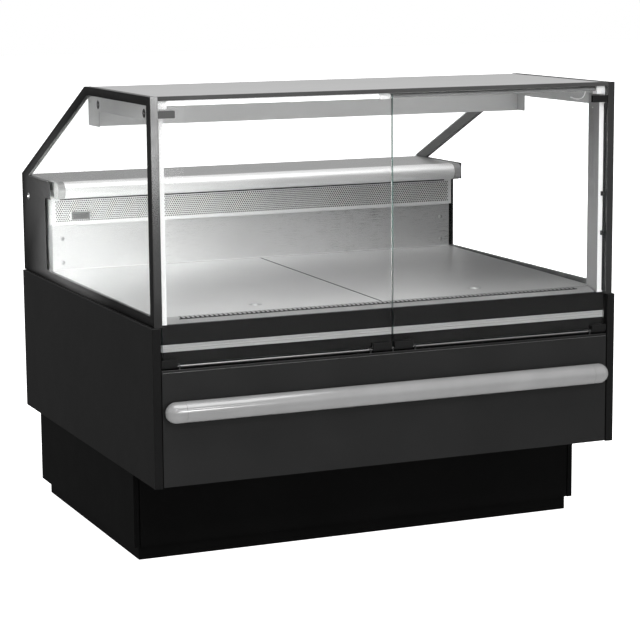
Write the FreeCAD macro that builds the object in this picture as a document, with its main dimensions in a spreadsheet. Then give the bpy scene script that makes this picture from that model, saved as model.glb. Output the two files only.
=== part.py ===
import FreeCAD, Part
import math
import os
import re
import Sketcher

# Refrigerated deli case: a serve-over counter with a black insulated body, tilting front
# glass, glazed ends, a stainless display deck and its cooling unit below.
#
# Frame: origin on the floor under the middle of the case's bounding box, +Z up, +Y to the
# staff side, +X to the customer's right. The dimensions below are in millimetres: widths are
# from the middle of the case, depths from the front plane of the end panels, positive to
# the rear, and heights from the floor.

DIMENSIONS = [
    # Whole case
    ("case_width", 1330), ("rear_edge", 1190), ("front_reach", 38), ("skin", 1.5), ("gap", 2),
    # End panels
    ("panel_thick", 22), ("panel_low", 241), ("panel_top", 651), ("panel_depth", 1180),
    # Base
    ("plinth_half", 640), ("plinth_front", 218), ("plinth_rear", 1030), ("plinth_high", 38),
    ("plinth_rail", 40), ("base_half", 656), ("base_skin", 15), ("base_front", 204),
    ("base_rear", 1066), ("fold", 18), ("tray_half", 598), ("tray_front", 235),
    ("tray_rear", 1025), ("tray_rim", 20), ("vent_slot_wide", 60), ("vent_slot_high", 6),
    ("vent_slot_step", 14), ("vent_bank_step", 90), ("vent_first_high", 84),
    # Condensing unit
    ("compressor_radius", 62), ("compressor_high", 130), ("compressor_round", 34),
    ("compressor_across", -200), ("compressor_deep", 800), ("coil_across", 250),
    ("coil_half", 150), ("coil_low", 64), ("coil_top", 226), ("coil_front", 985),
    ("coil_deep", 35), ("shroud_thick", 9), ("condenser_hole", 66), ("condenser_fan", 62),
    # Fans
    ("hub_radius", 18), ("hub_deep", 22), ("shaft_radius", 4), ("bore_radius", 4.05),
    ("blade_chord", 34), ("blade_thick", 2), ("blade_pitch", 32), ("motor_radius", 24),
    ("motor_deep", 38), ("motor_gap", 4), ("bar_thick", 4), ("bar_high", 14),
    # Insulated tub and evaporator
    ("tub_half", 641), ("tub_front", 32), ("tub_low", 247), ("tub_wall", 32),
    ("tub_floor", 36), ("tub_lip", 638), ("tub_rear", 1010), ("tub_rear_wall", 35),
    ("tub_shoulder", 650), ("tub_back_top", 933.5), ("tub_rail_half", 632),
    ("evaporator_half", 560), ("evaporator_front", 625),
    ("evaporator_deep", 180), ("evaporator_low", 300), ("evaporator_high", 120),
    ("fan_plate_deep", 560), ("fan_plate_low", 285), ("fan_plate_top", 640),
    ("fan_across", 300), ("fan_height", 420), ("evaporator_hole", 58), ("evaporator_fan", 55),
    # Front panels
    ("front_inset", 2), ("front_fold", 24), ("front_low", 243), ("front_top", 537),
    ("upper_half", 637.7), ("upper_face", 19), ("upper_deep", 11), ("upper_low", 544), ("upper_top", 655),
    ("strip_low", 587), ("strip_high", 18), ("strip_deep", 4), ("groove_wide", 3),
    ("groove_deep", 1.2), ("strip_half", 637),
    # Bumper
    ("bumper_middle", 436), ("bumper_round", 27), ("bumper_half", 637), ("bumper_base", 10),
    ("bumper_wall", 3), ("bumper_cap", 50), ("base_round", 24),
    # Front glass and its hinges
    ("glass_half", 636), ("glass_joint", 1.5), ("glass_face", 8), ("glass_thick", 6),
    ("glass_low", 556), ("glass_top", 1213), ("hinge_high", 550), ("hinge_deep", 11),
    ("rod_radius", 3), ("clamp_bore", 3.05), ("lug_bore", 3.01), ("barrel_radius", 5.5),
    ("clamp_outer", 641), ("clamp_inner", 597), ("clamp_middle", 4), ("clamp_middle_end", 58),
    ("clamp_front", 3), ("clamp_rear", 18.7), ("clamp_top", 568), ("jaw_low", 552.5),
    ("grip_slack", 0.2), ("profile_low", 537.5), ("profile_top", 542.5), ("profile_rear", 26),
    ("lug_wide", 5), ("lug_radius", 5),
    ("lug_outer", 594), ("lug_inner", 67),
    ("catch_inner", 593), ("catch_outer", 636.3), ("catch_low", 1172), ("catch_top", 1190),
    ("catch_jaw", 4), ("catch_bolt", 4), ("catch_hole", 4.5), ("catch_bolt_across", 612),
    # Air intake grille and display deck
    ("grille_half", 617), ("grille_front", 30.3), ("grille_foot", 640), ("grille_edge", 656),
    ("grille_crest", 58), ("grille_top", 666), ("grille_rear", 76), ("grille_back_low", 652),
    ("slot_wide", 6.5), ("slot_long", 23.5), ("slot_front", 50.5), ("slot_step", 12.75),
    ("slot_count", 90), ("deck_half", 637), ("deck_joint", 0.8), ("deck_front", 77),
    ("deck_long", 865), ("deck_front_top", 665), ("deck_slope", 0.67), ("deck_rim", 12),
    ("finger_across", 322), ("finger_deep", 168), ("finger_radius", 14),
    # Rear wall, air outlet, nose and worktop
    ("wall_half", 634.5), ("wall_face", 945), ("wall_fold", 30), ("wall_low", 662),
    ("wall_top", 805), ("outlet_half", 636.8), ("outlet_face", 935), ("outlet_low", 807),
    ("outlet_top", 886), ("hole_radius", 3.2), ("hole_step", 12), ("hole_row", 10.4),
    ("hole_margin", 9), ("display_left", -579), ("display_wide", 53), ("display_low", 822),
    ("display_high", 21), ("display_deep", 8), ("nose_middle", 889.5), ("nose_high", 911.5),
    ("nose_radius", 23.5), ("nose_bore", 20.5), ("nose_rear", 905.3), ("nose_half", 615),
    ("cap_radius", 24.5), ("cap_outer", 637), ("worktop_half", 636), ("worktop_low", 907),
    ("worktop_top", 935), ("worktop_front", 905.5), ("worktop_rear", 1178),
    # Rear body panel and controls
    ("back_half", 637.7), ("back_face", 1172), ("back_fold", 22), ("back_low", 243),
    ("back_top", 906.5), ("control_high", 850), ("controller_across", -300),
    ("controller_half", 38), ("controller_tall", 17), ("controller_deep", 55),
    ("controller_bezel", 3), ("button_first", -6), ("button_step", 11),
    ("button_drop", 8), ("button_radius", 4), ("button_slack", 0.3), ("button_well", 5),
    ("button_long", 7.2), ("cutout_half", 35.5), ("cutout_tall", 14.5),
    ("light_across", -200), ("mains_across", -160), ("rocker_half", 9.5),
    ("rocker_tall", 13), ("rocker_axis", 1166), ("rocker_tilt", -7), ("rocker_slot", 10),
    ("rocker_slot_tall", 15),
    ("rocker_pin", 1.5), ("rocker_bore", 1.55), ("housing_deep", 13), ("housing_wall", 2.5),
    ("gland_across", 520), ("gland_high", 200), ("gland_radius", 12), ("gland_bore", 5),
    ("gland_long", 22),
    # Glazed ends
    ("pane_outer", 656), ("pane_inner", 638), ("pane_thick", 5), ("pane_front", 7),
    ("pane_low", 651.5), ("pane_top", 1225), ("crest_rear", 545), ("shoulder_high", 938),
    ("seal_slack", 0.3), ("border_front", 30), ("border_top", 22), ("border_low", 24.5),
    ("slant_drop", 31), ("border_rear", 935), ("border_step", 990),
    ("border_step_high", 886), ("trim_front", 3), ("trim_rear", 6.5),
    # Posts, brackets and top
    ("post_inner", 619), ("post_outer", 635), ("post_front", 19), ("post_rear", 76),
    ("post_low", 655.2), ("post_top", 1192), ("post_wall", 2), ("post_hole", 2.5),
    ("post_hole_deep", 55), ("post_hole_high", 1155),
    ("bracket_inner", 635.3), ("bracket_outer", 637.3), ("bracket_front", 20),
    ("bracket_low", 1163), ("bracket_top", 1205), ("bracket_tab", 466),
    ("bracket_tab_low", 1121), ("bracket_rear", 560), ("top_half", 636.5), ("top_front", 12),
    ("top_rear", 548), ("top_low", 1218), ("top_high", 1224), ("band_low", 1215.5),
    ("band_high", 1226), ("band_deep", 11.5), ("flange_rear", 40), ("flange_top", 1217.5),
    ("canopy_half", 635), ("canopy_front", 508), ("canopy_rear", 555), ("canopy_low", 1120),
    ("canopy_top", 1217),
    # Lamp
    ("lamp_deep", 28), ("lamp_high", 1207), ("lamp_radius", 6), ("holder_front", 16),
    ("holder_rear", 40), ("holder_low", 1193), ("holder_mid_low", 1200),
    ("holder_top", 1215.3), ("holder_outer", 635), ("holder_inner", 610),
    ("holder_mid_left", -31), ("holder_mid_right", -3), ("lead_radius", 1.5),
    # Screws
    ("screw_radius", 4.5), ("screw_high", 2), ("wall_screw_across", 605),
    ("wall_screw_low", 697), ("wall_screw_top", 766), ("bracket_screw_high", 1180),
    ("bracket_screw_front", 96), ("bracket_screw_rear", 472),
]

BLADES = 5
VENT_ROWS = 9
VENT_BANKS = 12

doc = FreeCAD.newDocument("DeliCase")
sheet = doc.addObject("Spreadsheet::Sheet", "Sizes")
for row, (name, value) in enumerate(DIMENSIONS, start=1):
    sheet.set(f"A{row}", name)
    sheet.set(f"B{row}", str(value))
    sheet.setAlias(f"B{row}", name)
doc.recompute()

ALIASES = {name for name, value in DIMENSIONS}
sub_parts = []
own_depth = {}


# ---------------------------------------------------------------- helpers

def size(name):
    """A driving dimension's value, read from the sheet."""
    return float(sheet.get(name))


def formula(text):
    """The text with each dimension's name turned into a reference to its cell."""
    def cell(match):
        word = match.group(0)
        return f"Sizes.{word}" if word in ALIASES else word
    return re.sub(r"[a-z][a-z_]*", cell, str(text))


def bind(obj, prop, text):
    obj.setExpression(prop, formula(text))


def put(obj, x, y, z):
    """Bind an object's place to three formulas."""
    bind(obj, "Placement.Base.x", x)
    bind(obj, "Placement.Base.y", y)
    bind(obj, "Placement.Base.z", z)
    own_depth[obj.Name] = y
    return obj


def finish(label, obj):
    """Name a sub-part and move it from the front plane's frame to the case's own frame."""
    depth = own_depth.get(obj.Name, "0")
    bind(obj, "Placement.Base.y", f"{depth} - (rear_edge - front_reach) / 2")
    obj.Label = label
    sub_parts.append(obj)
    return obj


def box(x, y, z):
    """A block between three pairs of (low, high) formulas."""
    block = doc.addObject("Part::Box", "Block")
    for prop, (low, high) in zip(("Length", "Width", "Height"), (x, y, z)):
        bind(block, prop, f"({high}) - ({low})")
    return put(block, x[0], y[0], z[0])


TURNS = {
    "x": FreeCAD.Rotation(FreeCAD.Vector(0, 1, 0), 90),
    "y": FreeCAD.Rotation(FreeCAD.Vector(1, 0, 0), -90),
    "z": FreeCAD.Rotation(),
}


def rod(axis, x, y, z, radius, length):
    """A cylinder that starts at a point and runs along +axis."""
    round_bar = doc.addObject("Part::Cylinder", "Rod")
    bind(round_bar, "Radius", radius)
    bind(round_bar, "Height", length)
    round_bar.Placement = FreeCAD.Placement(FreeCAD.Vector(), TURNS[axis])
    return put(round_bar, x, y, z)


def join(shapes):
    """Several overlapping or touching solids as one."""
    whole = doc.addObject("Part::MultiFuse", "Joined")
    whole.Shapes = shapes
    return whole


def cut(base, tools):
    """A solid less one or more tools."""
    result = doc.addObject("Part::Cut", "Cut")
    result.Base = base
    result.Tool = tools[0] if len(tools) == 1 else group(tools)
    return result


def group(shapes):
    """Separate solids that share one sub-part."""
    bundle = doc.addObject("Part::Compound", "Group")
    bundle.Links = shapes
    return bundle


def pan(x, y, z, opening, thick="skin"):
    """A folded sheet: a block hollowed out from one side, named like '+y'."""
    spans = {"x": x, "y": y, "z": z}
    hollow = {}
    for axis, (low, high) in spans.items():
        inner_low = f"({low}) + {thick}"
        inner_high = f"({high}) - {thick}"
        if opening == "-" + axis:
            inner_low = f"({low}) - 1"
        if opening == "+" + axis:
            inner_high = f"({high}) + 1"
        hollow[axis] = (inner_low, inner_high)
    return cut(box(x, y, z), [box(hollow["x"], hollow["y"], hollow["z"])])


def add_outline(sketch, points):
    """A closed outline of straight lines whose corners are bound to formulas."""
    first = sketch.GeometryCount
    count = len(points)
    turn = 2 * math.pi / count
    start = [FreeCAD.Vector(100 * math.cos(turn * i), 100 * math.sin(turn * i), 0)
             for i in range(count)]
    for i in range(count):
        sketch.addGeometry(Part.LineSegment(start[i], start[(i + 1) % count]), False)
    for i in range(count):
        sketch.addConstraint(Sketcher.Constraint(
            "Coincident", first + i, 2, first + (i + 1) % count, 1))
    for i, corner in enumerate(points):
        for kind, place, text in zip(("DistanceX", "DistanceY"), start[i], corner):
            number = sketch.addConstraint(
                Sketcher.Constraint(kind, -1, 1, first + i, 1, place))
            sketch.setExpression(f"Constraints[{number}]", formula(text))


def add_sketch(body, role, outlines):
    plane = [item for item in body.Origin.OriginFeatures if item.Role == role][0]
    sketch = body.newObject("Sketcher::SketchObject", "Outline")
    sketch.AttachmentSupport = [(plane, "")]
    sketch.MapMode = "FlatFace"
    for points in outlines:
        add_outline(sketch, points)
    return sketch


def extrusion(x, outlines):
    """A profile drawn in depth and height, run across the case between two widths."""
    body = doc.addObject("PartDesign::Body", "Profile")
    sketch = add_sketch(body, "YZ_Plane", outlines)
    pad = body.newObject("PartDesign::Pad", "Run")
    pad.Profile = sketch
    bind(pad, "Length", f"({x[1]}) - ({x[0]})")
    sketch.Visibility = False
    return put(body, x[0], "0", "0")


def mirrored(low, high):
    """The left and right (low, high) spans of a piece between two widths."""
    return (f"-({high})", f"-({low})"), (low, high)


# ---------------------------------------------------------------- base

def make_base():
    """The welded plinth with its uprights, the tray that carries the cooling unit, and
    the covers round them."""
    ring = cut(
        box(("-plinth_half", "plinth_half"), ("plinth_front", "plinth_rear"), ("0", "plinth_high")),
        [box(("-plinth_half + plinth_rail", "plinth_half - plinth_rail"),
             ("plinth_front + plinth_rail", "plinth_rear - plinth_rail"),
             ("-1", "plinth_high + 1"))])
    uprights = []
    for x in mirrored("plinth_half - plinth_rail", "plinth_half"):
        for y in (("plinth_front + 14", "plinth_front + 44"), ("plinth_rear - 30", "plinth_rear")):
            uprights.append(box(x, y, ("plinth_high - 1", "panel_low - 1")))
    finish("plinth_frame", join([ring] + uprights))

    finish("base_tray", pan(("-tray_half", "tray_half"), ("tray_front + 30", "tray_rear - 35"),
                            ("plinth_high + 0.3", "plinth_high + tray_rim"), "+z"))
    sides = [box(x, ("base_front", "base_rear"), ("plinth_high", "panel_low - 0.5"))
             for x in mirrored("base_half - base_skin", "base_half")]
    finish("base_side_panels", group(sides))

    kick_half = "base_half - base_skin - gap"
    finish("kick_panel", pan((f"-({kick_half})", kick_half),
                             ("base_front + 1", "base_front + 12"),
                             ("plinth_high + 1", "panel_low - 1"), "+y"))

    cover = pan((f"-({kick_half})", kick_half), ("base_rear - fold", "base_rear"),
                ("plinth_high + 1", "panel_low - 1"), "-y")
    slots = []
    for bank in range(VENT_BANKS):
        across = f"({bank} - {(VENT_BANKS - 1) / 2}) * vent_bank_step"
        for row_number in range(VENT_ROWS):
            low = f"vent_first_high + {row_number} * vent_slot_step"
            slots.append(box((f"{across} - vent_slot_wide / 2", f"{across} + vent_slot_wide / 2"),
                             ("base_rear - skin - 1", "base_rear + 1"),
                             (low, f"{low} + vent_slot_high")))
    entry = rod("y", "gland_across", "base_rear - skin - 1", "gland_high", "gland_bore + 3",
                "skin + 2")
    finish("rear_vent_panel", cut(cover, slots + [entry]))

    collar = rod("y", "gland_across", "base_rear", "gland_high", "gland_radius", "gland_long")
    throat = rod("y", "gland_across", "base_rear - 12", "gland_high", "gland_bore + 2.5", "12")
    opening = rod("y", "gland_across", "base_rear - 13", "gland_high", "gland_bore",
                  "gland_long + 14")
    finish("mains_gland", cut(join([collar, throat]), [opening]))


# ---------------------------------------------------------------- fans and cooling unit

def make_wheel(label, x, z, y, radius):
    """A fan wheel: a bored hub and pitched blades, turning about a shaft along Y."""
    hub = rod("y", x, y, z, "hub_radius", "hub_deep")
    blades = []
    for number in range(BLADES):
        angle = 360 / BLADES * number
        blade = doc.addObject("Part::Box", "Blade")
        bind(blade, "Length", f"{radius} - hub_radius + 2")
        bind(blade, "Width", "blade_chord")
        bind(blade, "Height", "blade_thick")
        radial = FreeCAD.Rotation(FreeCAD.Vector(0, 1, 0), angle)
        pitch = FreeCAD.Rotation(FreeCAD.Vector(1, 0, 0), size("blade_pitch"))
        start = FreeCAD.Vector(size("hub_radius") - 2, -size("blade_chord") / 2,
                               -size("blade_thick") / 2)
        blade.Placement = FreeCAD.Placement(radial.multVec(pitch.multVec(start)),
                                            radial.multiply(pitch))
        blades.append(blade)
    ring = group(blades)
    put(ring, x, f"{y} + hub_deep / 2", z)
    bore = rod("y", x, f"{y} - 1", z, "bore_radius", "hub_deep + 2")
    finish(label, cut(join([hub, ring]), [bore]))


def make_motor(x, z, wheel_y, plate_y, hole, side):
    """A fan motor with its shaft and the bar that holds it to the fan's plate. side is +1
    with the motor behind the wheel and -1 with it in front."""
    if side > 0:
        motor_y = f"{wheel_y} + hub_deep + motor_gap"
        shaft_y = f"{wheel_y} + 1"
        legs = (plate_y, f"{motor_y} + bar_thick")
        bar = (motor_y, f"{motor_y} + bar_thick")
    else:
        motor_y = f"{wheel_y} - motor_gap - motor_deep"
        shaft_y = f"{motor_y} + motor_deep - 1"
        legs = (f"{motor_y} + motor_deep - bar_thick", plate_y)
        bar = (f"{motor_y} + motor_deep - bar_thick", f"{motor_y} + motor_deep")
    pieces = [
        rod("y", x, motor_y, z, "motor_radius", "motor_deep"),
        rod("y", x, shaft_y, z, "shaft_radius", "hub_deep + motor_gap"),
        box((f"{x} - {hole} - 12", f"{x} + {hole} + 12"), bar,
            (f"{z} - bar_high / 2", f"{z} + bar_high / 2")),
    ]
    for across in (f"{x} - {hole} - 12", f"{x} + {hole} + 8"):
        pieces.append(box((across, f"{across} + bar_thick"), legs,
                          (f"{z} - bar_high / 2", f"{z} + bar_high / 2")))
    return join(pieces)


def make_cooling():
    """The condensing unit in the base and the evaporator under the deck."""
    shell = rod("z", "compressor_across", "compressor_deep", "plinth_high + 22",
                "compressor_radius", "compressor_high")
    doc.recompute()
    rounded = doc.addObject("Part::Fillet", "Dome")
    rounded.Base = shell
    rounded.Edges = [(number, size("compressor_round"), size("compressor_round"))
                     for number, edge in enumerate(shell.Shape.Edges, start=1)
                     if len(edge.Vertexes) == 1]
    foot = box(("compressor_across - 80", "compressor_across + 80"),
               ("compressor_deep - 50", "compressor_deep + 50"),
               ("plinth_high + skin + 0.3", "plinth_high + 28"))
    terminal = box(("compressor_across - 20", "compressor_across + 20"),
                   ("compressor_deep - compressor_radius - 14", "compressor_deep"),
                   ("plinth_high + 60", "plinth_high + 110"))
    finish("compressor", join([rounded, foot, terminal]))

    coil = ("coil_across - coil_half", "coil_across + coil_half")
    block = box(coil, ("coil_front", "coil_front + coil_deep"), ("coil_low", "coil_top"))
    bends = [rod("x", "coil_across - coil_half - 12", "coil_front + coil_deep / 2",
                 f"coil_low + {20 + 24 * number}", "5", "2 * coil_half + 24")
             for number in range(6)]
    finish("condenser_coil", join([block] + bends))
    fan_high = "(coil_low + coil_top) / 2"
    plate = box(coil, ("coil_front - shroud_thick - 0.5", "coil_front - 0.5"),
                ("coil_low", "coil_top"))
    ring = rod("y", "coil_across", "coil_front - shroud_thick - 2", fan_high,
               "condenser_hole", "shroud_thick + 4")
    finish("condenser_fan_shroud", cut(plate, [ring]))
    wheel_y = "coil_front - shroud_thick - 20"
    make_wheel("condenser_fan_wheel", "coil_across", fan_high, wheel_y, "condenser_fan")
    motors = [make_motor("coil_across", fan_high, wheel_y, "coil_front - shroud_thick - 0.5",
                         "condenser_hole", -1)]

    block = box(("-evaporator_half", "evaporator_half"),
                ("evaporator_front", "evaporator_front + evaporator_deep"),
                ("evaporator_low", "evaporator_low + evaporator_high"))
    bends = [rod("x", "-evaporator_half - 16", f"evaporator_front + {30 + 40 * column}",
                 f"evaporator_low + {30 + 60 * level}", "6", "2 * evaporator_half + 32")
             for column in range(4) for level in range(2)]
    finish("evaporator_coil", join([block] + bends))

    plate = box(("-tub_half + 5", "tub_half - 5"), ("fan_plate_deep", "fan_plate_deep + gap"),
                ("fan_plate_low", "fan_plate_top"))
    holes = []
    for label, across in (("evaporator_fan_wheel_left", "-fan_across"),
                          ("evaporator_fan_wheel_right", "fan_across")):
        holes.append(rod("y", across, "fan_plate_deep - 1", "fan_height", "evaporator_hole",
                         "gap + 2"))
        wheel_y = "fan_plate_deep - 10"
        make_wheel(label, across, "fan_height", wheel_y, "evaporator_fan")
        motors.append(make_motor(across, "fan_height", wheel_y, "fan_plate_deep + gap",
                                 "evaporator_hole", 1))
    finish("fan_plate", cut(plate, holes))
    finish("fan_motors", group(motors))


# ---------------------------------------------------------------- body

def make_body():
    """The end panels, the foamed tub between them and the painted front."""
    ends = [box(x, ("0", "panel_depth"), ("panel_low", "panel_top"))
            for x in mirrored("case_width / 2 - panel_thick", "case_width / 2")]
    finish("end_panels", group(ends))

    trough = extrusion(("-tub_half", "tub_half"), [[
        ("tub_front", "tub_low"), ("tub_rear", "tub_low"), ("tub_rear", "tub_shoulder"),
        ("tub_rear - tub_rear_wall", "tub_shoulder"),
        ("tub_rear - tub_rear_wall", "tub_low + tub_floor"),
        ("tub_front + tub_wall", "tub_low + tub_floor"),
        ("tub_front + tub_wall", "tub_lip"), ("tub_front", "tub_lip")]])
    rail = box(("-tub_rail_half", "tub_rail_half"), ("tub_rear - tub_rear_wall", "tub_rear"),
               ("tub_shoulder - 1", "tub_back_top"))
    finish("insulated_tub", join([trough, rail]))

    between = "case_width / 2 - panel_thick - gap"
    finish("front_panel", pan((f"-({between})", between),
                              ("front_inset", "front_inset + front_fold"),
                              ("front_low", "front_top"), "+y"))
    finish("upper_front_panel", pan(("-upper_half", "upper_half"),
                                    ("upper_face", "upper_face + upper_deep"),
                                    ("upper_low", "upper_top"), "+y"))

    back = "upper_face"
    face = "upper_face - strip_deep"
    floor = "upper_face - strip_deep + groove_deep"
    outline = [(back, "strip_low"), (face, "strip_low")]
    for groove in ("strip_low + strip_high / 3", "strip_low + strip_high * 2 / 3"):
        outline.append((face, f"{groove} - groove_wide / 2"))
        outline.append((floor, f"{groove} - groove_wide / 2"))
        outline.append((floor, f"{groove} + groove_wide / 2"))
        outline.append((face, f"{groove} + groove_wide / 2"))
    outline.append((face, "strip_low + strip_high"))
    outline.append((back, "strip_low + strip_high"))
    finish("trim_strip", extrusion(("-strip_half", "strip_half"), [outline]))


def round_front(x, y, z, radius, back):
    """A rail across the case with a half-round front about an axis and a flat back."""
    low, high = x
    bar = rod("x", low, y, z, radius, f"({high}) - ({low})")
    slab = box(x, (y, back), (f"{z} - ({radius})", f"{z} + ({radius})"))
    keep = box(x, (f"{y} - ({radius}) - 1", back),
               (f"{z} - ({radius}) - 1", f"{z} + ({radius}) + 1"))
    rail = doc.addObject("Part::Common", "RoundFront")
    rail.Base = join([bar, slab])
    rail.Tool = keep
    return rail


def make_bumper():
    """The grey bumper rail with domed ends, standing on a slimmer black base."""
    middle = "bumper_round - front_reach"
    back = "front_inset - bumper_base"
    straight = "bumper_half - bumper_cap"
    shell = round_front((f"-({straight})", straight), middle, "bumper_middle",
                        "bumper_round", back)
    hollow = round_front((f"-({straight}) - 1", f"{straight} + 1"), middle, "bumper_middle",
                         "bumper_round - bumper_wall", f"{back} + 1")
    finish("bumper_rail", cut(shell, [hollow]))

    caps = []
    for side in (-1, 1):
        centre = f"{side} * (bumper_half - bumper_round)"
        inner = f"{side} * ({straight} + 0.3)"
        span = (centre, inner) if side < 0 else (inner, centre)
        dome = doc.addObject("Part::Sphere", "Dome")
        bind(dome, "Radius", "bumper_round")
        put(dome, centre, middle, "bumper_middle")
        keep = box((f"{centre} - bumper_round - 1", f"{centre} + bumper_round + 1"),
                   ("-front_reach - 1", middle),
                   ("bumper_middle - bumper_round - 1", "bumper_middle + bumper_round + 1"))
        front = doc.addObject("Part::Common", "FrontDome")
        front.Base = dome
        front.Tool = keep
        disc = rod("y", centre, middle, "bumper_middle", "bumper_round", f"{back} - ({middle})")
        body = round_front(span, middle, "bumper_middle", "bumper_round", back)
        caps.append(join([front, disc, body]))
    finish("bumper_end_caps", group(caps))

    ends = [rod("y", f"{side} * (bumper_half - bumper_round)", back, "bumper_middle",
                "base_round", "bumper_base - 0.2") for side in (-1, 1)]
    web = box(("-bumper_half + bumper_round", "bumper_half - bumper_round"),
              (back, "front_inset - 0.2"),
              ("bumper_middle - base_round", "bumper_middle + base_round"))
    finish("bumper_mounting_base", join([web] + ends))


# ---------------------------------------------------------------- front glass

def clamp(x):
    """A glass clamp: a barrel that turns on the hinge rod and two jaws round the glass."""
    low, high = x
    length = f"({high}) - ({low})"
    barrel = rod("x", low, "hinge_deep", "hinge_high", "barrel_radius", length)
    jaws = box((low, high), ("clamp_front", "clamp_rear"), ("jaw_low", "clamp_top"))
    seat = box((f"({low}) - 1", f"({high}) + 1"),
               ("glass_face - grip_slack", "glass_face + glass_thick + grip_slack"),
               ("glass_low - grip_slack", "clamp_top + 1"))
    bore = rod("x", f"({low}) - 1", "hinge_deep", "hinge_high", "clamp_bore", f"{length} + 2")
    return cut(join([barrel, jaws]), [seat, bore])


def catch(x, bolt):
    """A catch at the glass's top corner: two plates and the bolt that joins them."""
    rear = "glass_face + glass_thick + grip_slack"
    return join([
        box(x, ("glass_face - grip_slack - catch_jaw", "glass_face - grip_slack"),
            ("catch_low", "catch_top")),
        box(x, (rear, f"{rear} + catch_jaw"), ("catch_low", "catch_top")),
        rod("y", bolt, "glass_face - catch_jaw", "(catch_low + catch_top) / 2", "catch_bolt",
            f"glass_thick + catch_jaw")])


def make_front_glass():
    """The two panes that tilt forward on one rod, with their clamps and catches."""
    profile = [box(("-tub_half", "tub_half"), ("front_inset + 1", "profile_rear"),
                   ("profile_low", "profile_top"))]
    for start in ("-lug_outer", "-lug_inner", "-lug_wide / 2", "lug_inner - lug_wide",
                  "lug_outer - lug_wide"):
        profile.append(box((start, f"{start} + lug_wide"),
                           ("hinge_deep - lug_radius", "hinge_deep + lug_radius"),
                           ("profile_top - 1", "hinge_high")))
        profile.append(rod("x", start, "hinge_deep", "hinge_high", "lug_radius", "lug_wide"))
    bore = rod("x", "-tub_half - 1", "hinge_deep", "hinge_high", "lug_bore", "2 * tub_half + 2")
    finish("hinge_profile", cut(join(profile), [bore]))
    finish("hinge_rod", rod("x", "-tub_half", "hinge_deep", "hinge_high", "rod_radius",
                            "2 * tub_half"))

    panes = zip(("left", "right"), (-1, 1), mirrored("glass_joint", "glass_half"),
                mirrored("clamp_inner", "clamp_outer"),
                mirrored("clamp_middle", "clamp_middle_end"),
                mirrored("catch_inner", "catch_outer"))
    for side, sign, x, outer, middle, corner in panes:
        bolt = f"{sign} * catch_bolt_across"
        pane = box(x, ("glass_face", "glass_face + glass_thick"), ("glass_low", "glass_top"))
        hole = rod("y", bolt, "glass_face - 1", "(catch_low + catch_top) / 2", "catch_hole",
                   "glass_thick + 2")
        finish(f"front_glass_{side}", cut(pane, [hole]))
        finish(f"hinge_clamps_{side}", group([clamp(outer), clamp(middle)]))
        finish(f"glass_catch_{side}", catch(corner, bolt))


# ---------------------------------------------------------------- display space

def make_grille():
    """The stainless air intake along the front of the deck, with its row of slots."""
    body = extrusion(("-grille_half", "grille_half"), [[
        ("grille_front", "grille_foot"), ("grille_front", "grille_edge"),
        ("grille_crest", "grille_top"), ("grille_rear", "grille_top"),
        ("grille_rear", "grille_back_low"), ("grille_rear - skin", "grille_back_low"),
        ("grille_rear - skin", "grille_top - skin"), ("grille_crest", "grille_top - skin"),
        ("grille_front + skin", "grille_edge - skin"), ("grille_front + skin", "grille_foot")]])
    doc.recompute()
    start = "grille_half - (slot_count - 1) * slot_step / 2 - slot_wide / 2"
    sketch = add_sketch(body, "XY_Plane", [[
        (start, "slot_front"), (f"{start} + slot_wide", "slot_front"),
        (f"{start} + slot_wide", "slot_front + slot_long"), (start, "slot_front + slot_long")]])
    pocket = body.newObject("PartDesign::Pocket", "Slot")
    pocket.Profile = sketch
    pocket.Type = "Length"
    pocket.Reversed = True
    bind(pocket, "Length", "grille_top + 5")
    sketch.Visibility = False
    doc.recompute()
    row = body.newObject("PartDesign::LinearPattern", "SlotRow")
    row.Originals = [pocket]
    row.Direction = (sketch, ["H_Axis"])
    bind(row, "Length", "(slot_count - 1) * slot_step")
    bind(row, "Occurrences", "slot_count")
    body.Tip = row
    finish("intake_grille", body)


def make_decks():
    """The two lift-out deck sheets, which fall slightly to the front."""
    tilt = FreeCAD.Rotation(FreeCAD.Vector(1, 0, 0), size("deck_slope"))
    for label, x, finger in zip(("deck_left", "deck_right"),
                                mirrored("deck_joint", "deck_half"), (-1, 1)):
        tray = pan(x, ("0", "deck_long"), ("-deck_rim", "0"), "-z")
        hole = rod("z", f"{finger} * finger_across", "finger_deep - deck_front", "-skin - 1",
                   "finger_radius", "skin + 2")
        deck = cut(tray, [hole])
        deck.Placement = FreeCAD.Placement(FreeCAD.Vector(), tilt)
        put(deck, "0", "deck_front", "deck_front_top")
        finish(label, deck)


def make_outlet():
    """The perforated air outlet: staggered rows of round holes in a flat sheet."""
    half = size("outlet_half")
    low = size("outlet_low")
    top = size("outlet_top")
    margin = size("hole_margin")
    step = size("hole_step")
    face = size("outlet_face")
    corners = [(-half, low), (half, low), (half, top), (-half, top)]
    edge = [FreeCAD.Vector(x, face, z) for x, z in corners]
    wires = [Part.makePolygon(edge + edge[:1])]
    display = (size("display_left") - margin, size("display_left") + size("display_wide") + margin,
               size("display_low") - margin, size("display_low") + size("display_high") + margin)
    rows = int((top - low - 2 * margin) / size("hole_row")) + 1
    for line in range(rows):
        z = low + margin + line * size("hole_row")
        x = -half + margin + (line % 2) * step / 2
        while x < half - margin:
            inside = display[0] < x < display[1] and display[2] < z < display[3]
            if not inside:
                circle = Part.makeCircle(size("hole_radius"), FreeCAD.Vector(x, face, z),
                                         FreeCAD.Vector(0, 1, 0))
                wires.append(Part.Wire([circle]))
            x += step
    outlet = doc.addObject("Part::Feature", "Outlet")
    outlet.Shape = Part.Face(wires, "Part::FaceMakerBullseye").extrude(
        FreeCAD.Vector(0, size("skin"), 0))
    finish("air_outlet_panel", outlet)


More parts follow.
